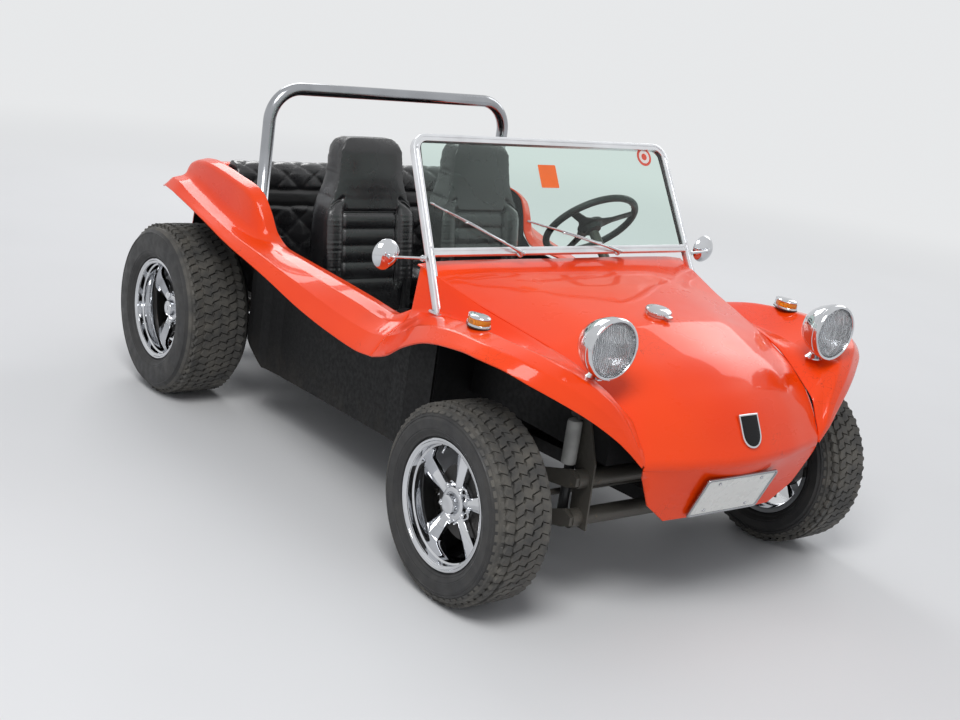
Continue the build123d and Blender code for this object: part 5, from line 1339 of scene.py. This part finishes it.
# x, height, size, ticks and where the needle points
dials = [(0.322, 0.846, 50, 13, 225), (0.205, 0.840, 26, 5, 150), (0.439, 0.840, 26, 5, 150)]
for index, (dialX, dialZ, size, count, points) in enumerate(dials):
    bezel = turned([(size, 0), (size + 4.5, 0), (size + 4.5, 4), (size + 2, 7.5), (size - 1, 8),
                    (size - 2.5, 4.5), (size - 2.5, 1.5)], 48, True)
    face = turned([(0, 0), (size - 1, 0), (size - 1, 2.2), (0, 2.2)], 40)
    size /= 1000
    ticks = []
    for tick in range(count):
        angle = dash["zero"] - dash["sweep"] * tick / (count - 1)
        ticks.append(bar(*(ringSpot(size * share, angle, 0.0024) for share in dash["tickRow"]),
                         size * 0.018, 0, 6))
    needle = bar((0, 0, 0.0036), ringSpot(size * 0.72, points, 0.0036), 0.0011, 0, 6, 0.0005)
    cap = bar((0, 0, 0.002), (0, 0, 0.0052), size * 0.10, 0.0008, 16)
    assembled("dashDial%d" % (index + 1), [(bezel, "chrome"), (face, "dial"), (cap, "softBlack"),
                                           (needle, "dialMark"), *((tick, "dialMark") for tick in ticks)],
              ((dialX, dash["face"], dialZ), tailWay, leftWay), (), 35)
knobs = []
for knobX in (0.115, 0.070, 0.025, -0.025):
    foot = (knobX, dash["face"], 0.838)
    knobs += [peg(foot, tailWay, 0, 0.010, 0.0045, 0.0005, 14),
              peg(foot, tailWay, 0.009, 0.023, 0.0105, 0.0025, 20, 0.0090)]
grab = tube([(x, aft(back), 0.846) for x, back in ((-0.46, 0.558), (-0.46, 0.600), (-0.44, 0.604),
                                                   (-0.24, 0.604), (-0.22, 0.600), (-0.22, 0.558))], 0.0075,
            sides=14, steps=8)
finish(joined(knobs), "dashKnobs", "softBlack")
finish(grab, "dashGrabRail", "chrome", (), 50)

# pedals, as (x, width, height), and the handbrake
pedals = {"clutch": (0.205, 0.070, 0.345), "brake": (0.300, 0.070, 0.345), "throttle": (0.405, 0.046, 0.330)}
hung = []
for pedalX, wide, low in pedals.values():
    half = wide / 2
    ribs = [slab((-half + 0.006, 0.004, z - 0.0022), (half - 0.006, 0.0072, z + 0.0022), 0.001, 1)
            for z in (-0.022, -0.011, 0.0, 0.011, 0.022)]
    sole = joined([slab((-half, -0.0045, -0.034), (half, 0.0045, 0.034), 0.0035), *ribs])
    pedalLean = Matrix.Rotation(math.radians(-32), 4, "X")
    reshaped(sole, Matrix.Translation((pedalX, aft(0.560), low)) @ pedalLean)
    arm = tube([(pedalX, aft(0.553), low - 0.004), (pedalX, aft(0.520), low - 0.030),
                (pedalX, aft(0.530), 0.262)], 0.0085, sides=12, steps=8)
    hung += [sole, arm, peg((pedalX, aft(0.530), 0.258), leftWay, -0.02, 0.02, 0.014, 0.002, 18)]
finish(joined(hung), "pedalSet", "frameBlack", (), 35)
handbrake = {"foot": Vector((0, aft(1.150), 0.386)), "tip": Vector((0, aft(0.990), 0.470))}
tip = handbrake["tip"]
way = (tip - handbrake["foot"]).normalized()
assembled("handbrake", [(bar(handbrake["foot"], tip, 0.0085, 0.001, 16), "frameBlack"),
                        (peg(tip, way, -0.095, 0.012, 0.0135, 0.004, 20), "lead"),
                        (peg(tip, way, 0.012, 0.022, 0.0060, 0.0015, 16), "chrome"),
                        (slab((-0.022, aft(1.115), 0.3740), (0.022, aft(1.185), 0.3920), 0.003),
                         "frameBlack")])
print("cockpit done")

# bolts that hold the hoop's feet
hoopFoot = {"rows": (0.562, 0.604), "along": (1.7055, 1.7685), "high": 0.768}
bolts = [boltHead((side * x, aft(along), hoopFoot["high"]), upWay, 0.0075, 0.0055)
         for side in (-1, 1) for along in hoopFoot["along"] for x in hoopFoot["rows"]]
finish(joined(bolts), "mountBolts", "chrome", (), 30)

# shock absorbers: dust tube over the body, bushes at both eyes
shock = {"x": 0.4625, "y": aft(-0.150), "low": 0.285, "eye": 0.352, "lean": 0.007}
for side, sideName in hands:
    foot = Vector((side * shock["x"], shock["y"], shock["low"]))
    body = turned([(0, 12), (14.5, 12), (16.5, 18), (16.5, 196), (0, 196)], 32)
    dust = turned([(20.5, 192), (23.5, 190), (24, 194), (24, 322), (21.5, 330), (10, 336), (0, 336),
                   (0, 330), (20.5, 326)], 36)
    eye = foot + Vector((0, 0, shock["eye"]))
    assembled("shockAbsorber" + sideName, [
        (placed(body, foot), "frameBlack"),
        (placed(dust, foot + Vector((side * shock["lean"], 0, 0))), "shock"),
        (peg(foot, tailWay, -0.017, 0.017, 0.0165, 0.002, 20), "lead"),
        (peg(eye, tailWay, -0.016, 0.016, 0.0155, 0.002, 20), "lead")], (), ("front_shocks",), 35)
print("fittings done")

# lap belts: a strap draped over each half of the cushion, ending in a buckle or its tongue
lapBelt = {"start": 0.176, "end": 0.062, "rear": 1.335, "front": 1.285, "wide": 0.047, "thick": 0.0018,
           "over": 0.60}


def drapedStrap(pad, start, end):
    strap = gridSheet(28, 6)
    along = end - start
    across = Vector((-along.y, along.x, 0)).normalized() * lapBelt["wide"] / 2
    spots = [start + along * (vertex.co.x + 1) / 2 + across * vertex.co.y for vertex in strap.data.vertices]
    for vertex, spot in zip(strap.data.vertices, castOn(pad, spots, (0, 0, -1), 0.0022)):
        vertex.co = spot
    return walled(strap, lapBelt["thick"], 1)


for side, sideName in hands:
    pad = bpy.data.objects["bucketPad" + sideName]
    for hand, handName in ((-1, "Buckle"), (1, "Tongue")):
        middle = side * bucket["middle"]
        start, end = (Vector((middle + hand * lapBelt[out], aft(lapBelt[back]), lapBelt["over"]))
                      for out, back in (("start", "rear"), ("end", "front")))
        strap = drapedStrap(pad, start, end)
        hit, spot, normal, index = pad.ray_cast(end + Vector((0, 0, 0.6)), (0, 0, -1))
        if handName == "Buckle":
            metal = [slab((-0.034, -0.026, 0.0), (0.030, 0.026, 0.0125), 0.0032, 3),
                     slab((-0.026, -0.021, 0.0120), (0.016, 0.021, 0.0160), 0.0018, 3)]
        else:
            metal = [slab((-0.016, -0.027, 0.0010), (0.008, 0.027, 0.0040), 0.0010, 2),
                     slab((0.006, -0.015, 0.0012), (0.046, 0.015, 0.0036), 0.0010, 2),
                     peg((-0.013, 0, 0.0046), tailWay, -0.024, 0.024, 0.0036, 0.0006, 14)]
        metal = placed(joined(metal), spot + normal * 0.0045, normal, (end - start).normalized())
        assembled("lapBelt" + handName + sideName, [(strap, "softBlack"), (metal, "chrome")])
print("lap belts done")

# tail lamps: a chrome bezel, a ribbed red glass and its two screws
tailLamp = {"x": 0.478, "along": aft(2.24727), "high": 0.742, "out": Vector((0, 0.98973, 0.14296)),
            "ribs": 15}
for side, sideName in hands:
    foot = Vector((side * tailLamp["x"], tailLamp["along"], tailLamp["high"])) + tailLamp["out"] * 0.0006
    gasket = turned([(0, 0), (40.2, 0), (40.2, 2.2), (0, 2.2)], 48)
    bezel = turned([(0, 1.8), (39.2, 1.8), (40, 4.5), (39.6, 11), (37.8, 14.2), (35.6, 15), (34.8, 14),
                    (34.6, 9.5), (0, 9.5)], 60)
    ribs = [(0, 9.2), (34.2, 9.2), (34.4, 18)]
    for step in range(tailLamp["ribs"]):
        across = 33.6 - 2.2 * step
        high = 29 - 10 * (across / 34.4) ** 2.4
        ribs += [(across, high), (across - 1.1, high + 0.5), (across - 1.9, high - 0.2)]
    glass = turned([*ribs, (0, 29)], 60)
    screws = [peg((0, y, 0), upWay, 0.0175, 0.0215, 0.0032, 0.0008, 14) for y in (-0.0300, 0.0300)]
    assembled("tailLamp" + sideName, [(gasket, "lead"), (bezel, "chrome"), (glass, "redLens"),
                                      *((screw, "chrome") for screw in screws)],
              (foot, tailLamp["out"], leftWay), ("tail_lamps",))
print("tail lamps done")

# open engine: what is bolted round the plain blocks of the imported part
engine = {"crank": 0.345, "generator": 0.610, "belt": aft(2.565), "crankGroove": 0.0755, "topGroove": 0.0655,
          "case": 0.4634}


def onShaft(piece, high, along=engine["belt"]):
    return placed(piece, (0, along, high), tailWay, leftWay)


def sheave(high, inner, outer):
    # two flanges with the belt's groove between them
    profile = [(inner, -12.5), (outer, -12.5), (outer + 1, -10.5), (outer - 8, -4.5), (outer - 8, 4.5),
               (outer + 1, 10.5), (outer, 12.5), (inner, 12.5)]
    return onShaft(turned(profile, 64, inner > 0), high)


def beltLoop(low, high, lowRadius, highRadius, steps=24):
    # arcs round both pulleys, joined by their common tangents
    lean = math.asin((lowRadius - highRadius) / (high - low))
    points = []
    for middle, radius, first, sweep in ((low, lowRadius, -lean, math.pi + 2 * lean),
                                         (high, highRadius, math.pi + lean, math.pi - 2 * lean)):
        for step in range(steps + 1):
            angle = first + sweep * step / steps
            points.append((radius * math.cos(angle), engine["belt"], middle - radius * math.sin(angle)))
    return points


hub = turned([(0, 12), (52, 12), (50, 10), (30, 9), (28, 18), (17, 19), (16.5, 28), (0, 28.5)], 40)
topNut = bar((0, aft(2.5798), engine["generator"]), (0, aft(2.5960), engine["generator"]), 0.0165, 0.0015, 6)
assembled("fanPulleys", [(sheave(engine["crank"], 0, 80), "frameBlack"),
                         (sheave(engine["generator"], 60.4, 70), "caseAlloy"),
                         (onShaft(hub, engine["crank"]), "aluminium"), (topNut, "stainless")], (), (),
          35)
belt = beltLoop(engine["crank"], engine["generator"], engine["crankGroove"], engine["topGroove"])
finish(tube(belt, 0.0058, True, 8, kind="POLY"), "fanBelt", "lead", (), 60)

# rocker covers with their bails, one on the end of each pair of cylinders
for side, sideName in hands:
    cover, flange = (slab((min(side * inner, side * outer), aft(front), low),
                          (max(side * inner, side * outer), aft(back), high), *edge)
                     for inner, outer, front, back, low, high, edge in (
                         (0.3724, 0.4020, 2.222, 2.462, 0.292, 0.398, (0.0105, 4)),
                         (0.3724, 0.3765, 2.214, 2.470, 0.284, 0.406, (0.0015, 2))))
    bail = tube([(side * x, aft(along), high) for x, along, high in (
        (0.372, 2.262, 0.402), (0.398, 2.262, 0.408), (0.4065, 2.270, 0.380), (0.4065, 2.290, 0.345),
        (0.4065, 2.394, 0.345), (0.4065, 2.414, 0.380), (0.398, 2.422, 0.408), (0.372, 2.422, 0.402))],
        0.0032, sides=8, steps=8)
    assembled("rockerCover" + sideName, [(cover, "chrome"), (flange, "frameBlack"), (bail, "stainless")])

# inlet manifold, carburettor flange and its bowl beside the air cleaner's neck
inlet = []
for side in (-1, 1):
    inlet.append(tube([(side * x, aft(along), high) for x, along, high in (
        (0, 2.450, 0.500), (0.12, 2.450, 0.500), (0.235, 2.448, 0.500), (0.325, 2.446, 0.490),
        (0.338, 2.443, 0.450), (0.338, 2.443, 0.412))], 0.0150, sides=16, steps=8))
    inlet.append(peg((side * 0.338, aft(2.443), 0), upWay, 0.4114, 0.4200, 0.0260, 0.002, 24))
inlet.append(peg((-0.060, aft(2.450), 0), upWay, 0.484, 0.540, 0.0270, 0.003, 28))
inlet.append(slab((-0.098, aft(2.426), 0.536), (-0.022, aft(2.474), 0.545), 0.002))
finish(joined(inlet), "inletPipes", "caseAlloy")

# distributor, coil and their leads
spark = {"foot": Vector((0.100, aft(2.446), engine["case"])), "coil": Vector((0.215, aft(2.436), 0.590)),
         "towerRing": 0.0210, "leadOut": 0.356}
foot, coil = spark["foot"], spark["coil"]
base = turned([(0, 0), (24, 0), (24, 8), (15, 10), (15, 30), (29, 36), (31, 44), (31, 74), (0, 74)], 40)
towers = [turned([(0, 73.5), (33.5, 73.5), (34, 80), (32.5, 96), (28, 103), (0, 106)], 40),
          peg((0, 0, 0), upWay, 0.100, 0.122, 0.0072, 0.001, 18)]
leadStarts = []
for step in range(4):
    spot = ringSpot(spark["towerRing"], 45 + 90 * step, 0.098)
    towers.append(peg(spot, upWay, 0, 0.020, 0.0065, 0.001, 18))
    leadStarts.append(foot + spot + Vector((0, 0, 0.018)))
vacuum = placed(turned([(0, 0), (24, 2), (26, 9), (24, 16), (8, 20), (6, 32), (0, 32)], 28),
                foot + Vector((0.030, 0.014, 0.052)), (0.9, 0.4, 0), upWay)
coilFoot = slab((coil.x - 0.012, aft(2.4052), 0.572), (coil.x + 0.012, coil.y, 0.6215), 0.0015)
# pegs along the coil: from, to, radius, edge, sides, far radius
coilPegs = [("frameBlack", -0.052, 0.052, 0.0270, 0.004, 36),
            ("softBlack", -0.052, -0.072, 0.0250, 0.003, 32, 0.0150),
            ("softBlack", -0.070, -0.086, 0.0085, 0.001, 20),
            ("stainless", -0.012, 0.012, 0.0284, 0.0006, 36)]
assembled("distributorAndCoil", [(placed(base, foot), "caseAlloy"),
                                 (placed(joined(towers), foot), "softBlack"), (vacuum, "stainless"),
                                 *((peg(coil, leftWay, *form), name) for name, *form in coilPegs),
                                 (coilFoot, "stainless")])
leads = []
plugs = ((1, 2.430, 0.012), (-1, 2.430, 0.0), (-1, 2.300, 0.014), (1, 2.300, 0.026))
for start, (side, along, drop) in zip(leadStarts, plugs):
    route = [(0.15, 2.462, 0.580 - drop), (0.26, 2.464, 0.500 - drop), (0.350, 2.450, 0.470 - drop),
             (spark["leadOut"], along + 0.010, 0.440), (spark["leadOut"], along, 0.4105)]
    leads.append(tube([start - Vector((0, 0, 0.006)), start + Vector((0, 0, 0.030)),
                       *((side * x, aft(y), z) for x, y, z in route)], 0.0040, sides=10, steps=10))
    leads.append(peg((side * spark["leadOut"], aft(along), 0), upWay, 0.4110, 0.432, 0.0100, 0.002, 18,
                     0.0070))
leads.append(tube([foot + Vector((0, 0, 0.116)), foot + Vector((0, 0, 0.165)),
                   (foot.x + 0.004, aft(2.440), 0.640), (coil.x - 0.115, coil.y, 0.600),
                   coil - Vector((0.082, 0, 0))], 0.0040, sides=10, steps=10))
finish(joined(leads), "ignitionLeads", "lead", (), 50)

# generator: three bands, as (aft, half width, radius), and the clamp's screw
bands = []
for along, half, out in ((2.418, 4, 60), (2.470, 10, 54), (2.548, 3, 54.5)):
    ring = turned([(52.4, -half), (out - 0.6, -half), (out, 0.8 - half), (out, half - 0.8),
                   (out - 0.6, half), (52.4, half)], 56, True)
    bands.append(onShaft(ring, engine["generator"], aft(along)))
bands.append(bar((-0.050, aft(2.470), 0.574), (-0.072, aft(2.470), 0.566), 0.0055, 0.001, 16))
finish(joined(bands), "generatorBands", "stainless")

# muffler seams, pipe clamps and their bolts
muffler = {"seams": (0.286, 0.150), "pipe": 0.210}
clamps = []
for side in (-1, 1):
    for x in muffler["seams"]:
        seam = turned([(54.2, -5), (55.6, -4), (56.2, 0), (55.6, 4), (54.2, 5)], 56, True)
        clamps.append(placed(seam, (side * x, aft(2.566), 0.212), leftWay, upWay))
    x = side * muffler["pipe"]
    collar = turned([(17.4, -6), (20.5, -6), (20.5, 6), (17.4, 6)], 40, True)
    clamps += [onShaft(collar, 0.182, aft(2.634)),
               slab((x - 0.005, aft(2.628), 0.2010), (x + 0.005, aft(2.640), 0.2140), 0.001, 1),
               boltHead((x + 0.005, aft(2.634), 0.2080), leftWay, 0.0048)]
    reshaped(clamps[-3], Matrix.Translation((x, 0, 0)))
finish(joined(clamps), "exhaustClamps", "heatSteel")
print("engine done")


# studio: pale floor that runs into a pale backdrop, soft lamps, plain level
room = {"reach": 60.0, "backdrop": (0.80, 0.81, 0.82), "floor": (0.78, 0.785, 0.79),
        "patch": (0.76, 0.765, 0.77), "skyColour": (0.93, 0.95, 1.0, 1.0), "sky": 0.46, "fadeStart": 3.4,
        "fadeEnd": 9.0, "aim": Vector((0, 0, 0.6))}
# name, place, size and power
lamps = [("keyLamp", (-3.4, -3.4, 6.2), 3.0, 265.0), ("fillLamp", (6.2, 1.2, 4.6), 3.6, 90.0),
         ("rimLamp", (1.5, 6.0, 5.2), 3.2, 150.0)]


def studio():
    backdrop = {"Color": (*room["backdrop"], 1.0), "Strength": 1.0}
    clearAll()
    bpy.ops.mesh.primitive_plane_add(size=2 * room["reach"], location=(0, 0, 0))
    floor = settle(bpy.context.object)
    floor.name = "paleFloor"
    made = Finish("paleFloor", room["floor"], 0.9, Specular_IOR_Level=0.1)
    made.feed("Base Color", made.blend(made.step(made.noise(0.7, 3.0), 0.3, 0.7), room["floor"],
                                       room["patch"]))
    far = made.node("ShaderNodeVectorMath", {"operation": "LENGTH"}, {0: made.place()}, 1)
    fade = made.step(far, room["fadeStart"], room["fadeEnd"])
    made.mixed("Material Output", fade * made.seenDirectly(), Wire(made, made.shader.outputs[0]),
               made.node("ShaderNodeEmission", {}, backdrop))
    floor.data.materials.append(made.material)
    for name, spot, size, power in lamps:
        light = bpy.data.lights.new(name, "AREA")
        light.energy = power
        light.size = size
        light = linked(name, light)
        light.location = spot
        light.rotation_euler = (room["aim"] - Vector(spot)).to_track_quat("-Z", "Y").to_euler()
    world = bpy.data.worlds.new("softRoom")
    world.use_nodes = True
    around = Graph(world.node_tree)
    sky = around.node("ShaderNodeBackground", {}, {"Color": room["skyColour"], "Strength": room["sky"]})
    around.mixed("World Output", around.seenDirectly(), sky,
                 around.node("ShaderNodeBackground", {}, backdrop))
    bpy.context.scene.world = world


def camera():
    view = {"place": (-3.25901, -4.19773, 1.94585), "yaw": 38.8286, "pitch": -16.2935, "roll": 8.3928,
            "lens": 52.255}
    yaw, pitch, roll = (math.radians(view[key]) for key in ("yaw", "pitch", "roll"))
    ahead = Vector((math.sin(yaw) * math.cos(pitch), math.cos(yaw) * math.cos(pitch), math.sin(pitch)))
    level = Vector((math.cos(yaw), -math.sin(yaw), 0))
    right = math.cos(roll) * level + math.sin(roll) * level.cross(ahead)
    lens = bpy.data.cameras.new("photoCamera")
    lens.lens = view["lens"]
    lens.sensor_width = 36
    lens.sensor_fit = "HORIZONTAL"
    lens.clip_end = 100
    seen = linked("photoCamera", lens)
    turn = Matrix((right, right.cross(ahead), -ahead)).transposed().to_4x4()
    seen.matrix_world = Matrix.Translation(view["place"]) @ turn
    bpy.context.scene.camera = seen


studio()
camera()
bpy.context.scene.view_settings.view_transform = "Standard"
clearAll()
print("studio done")
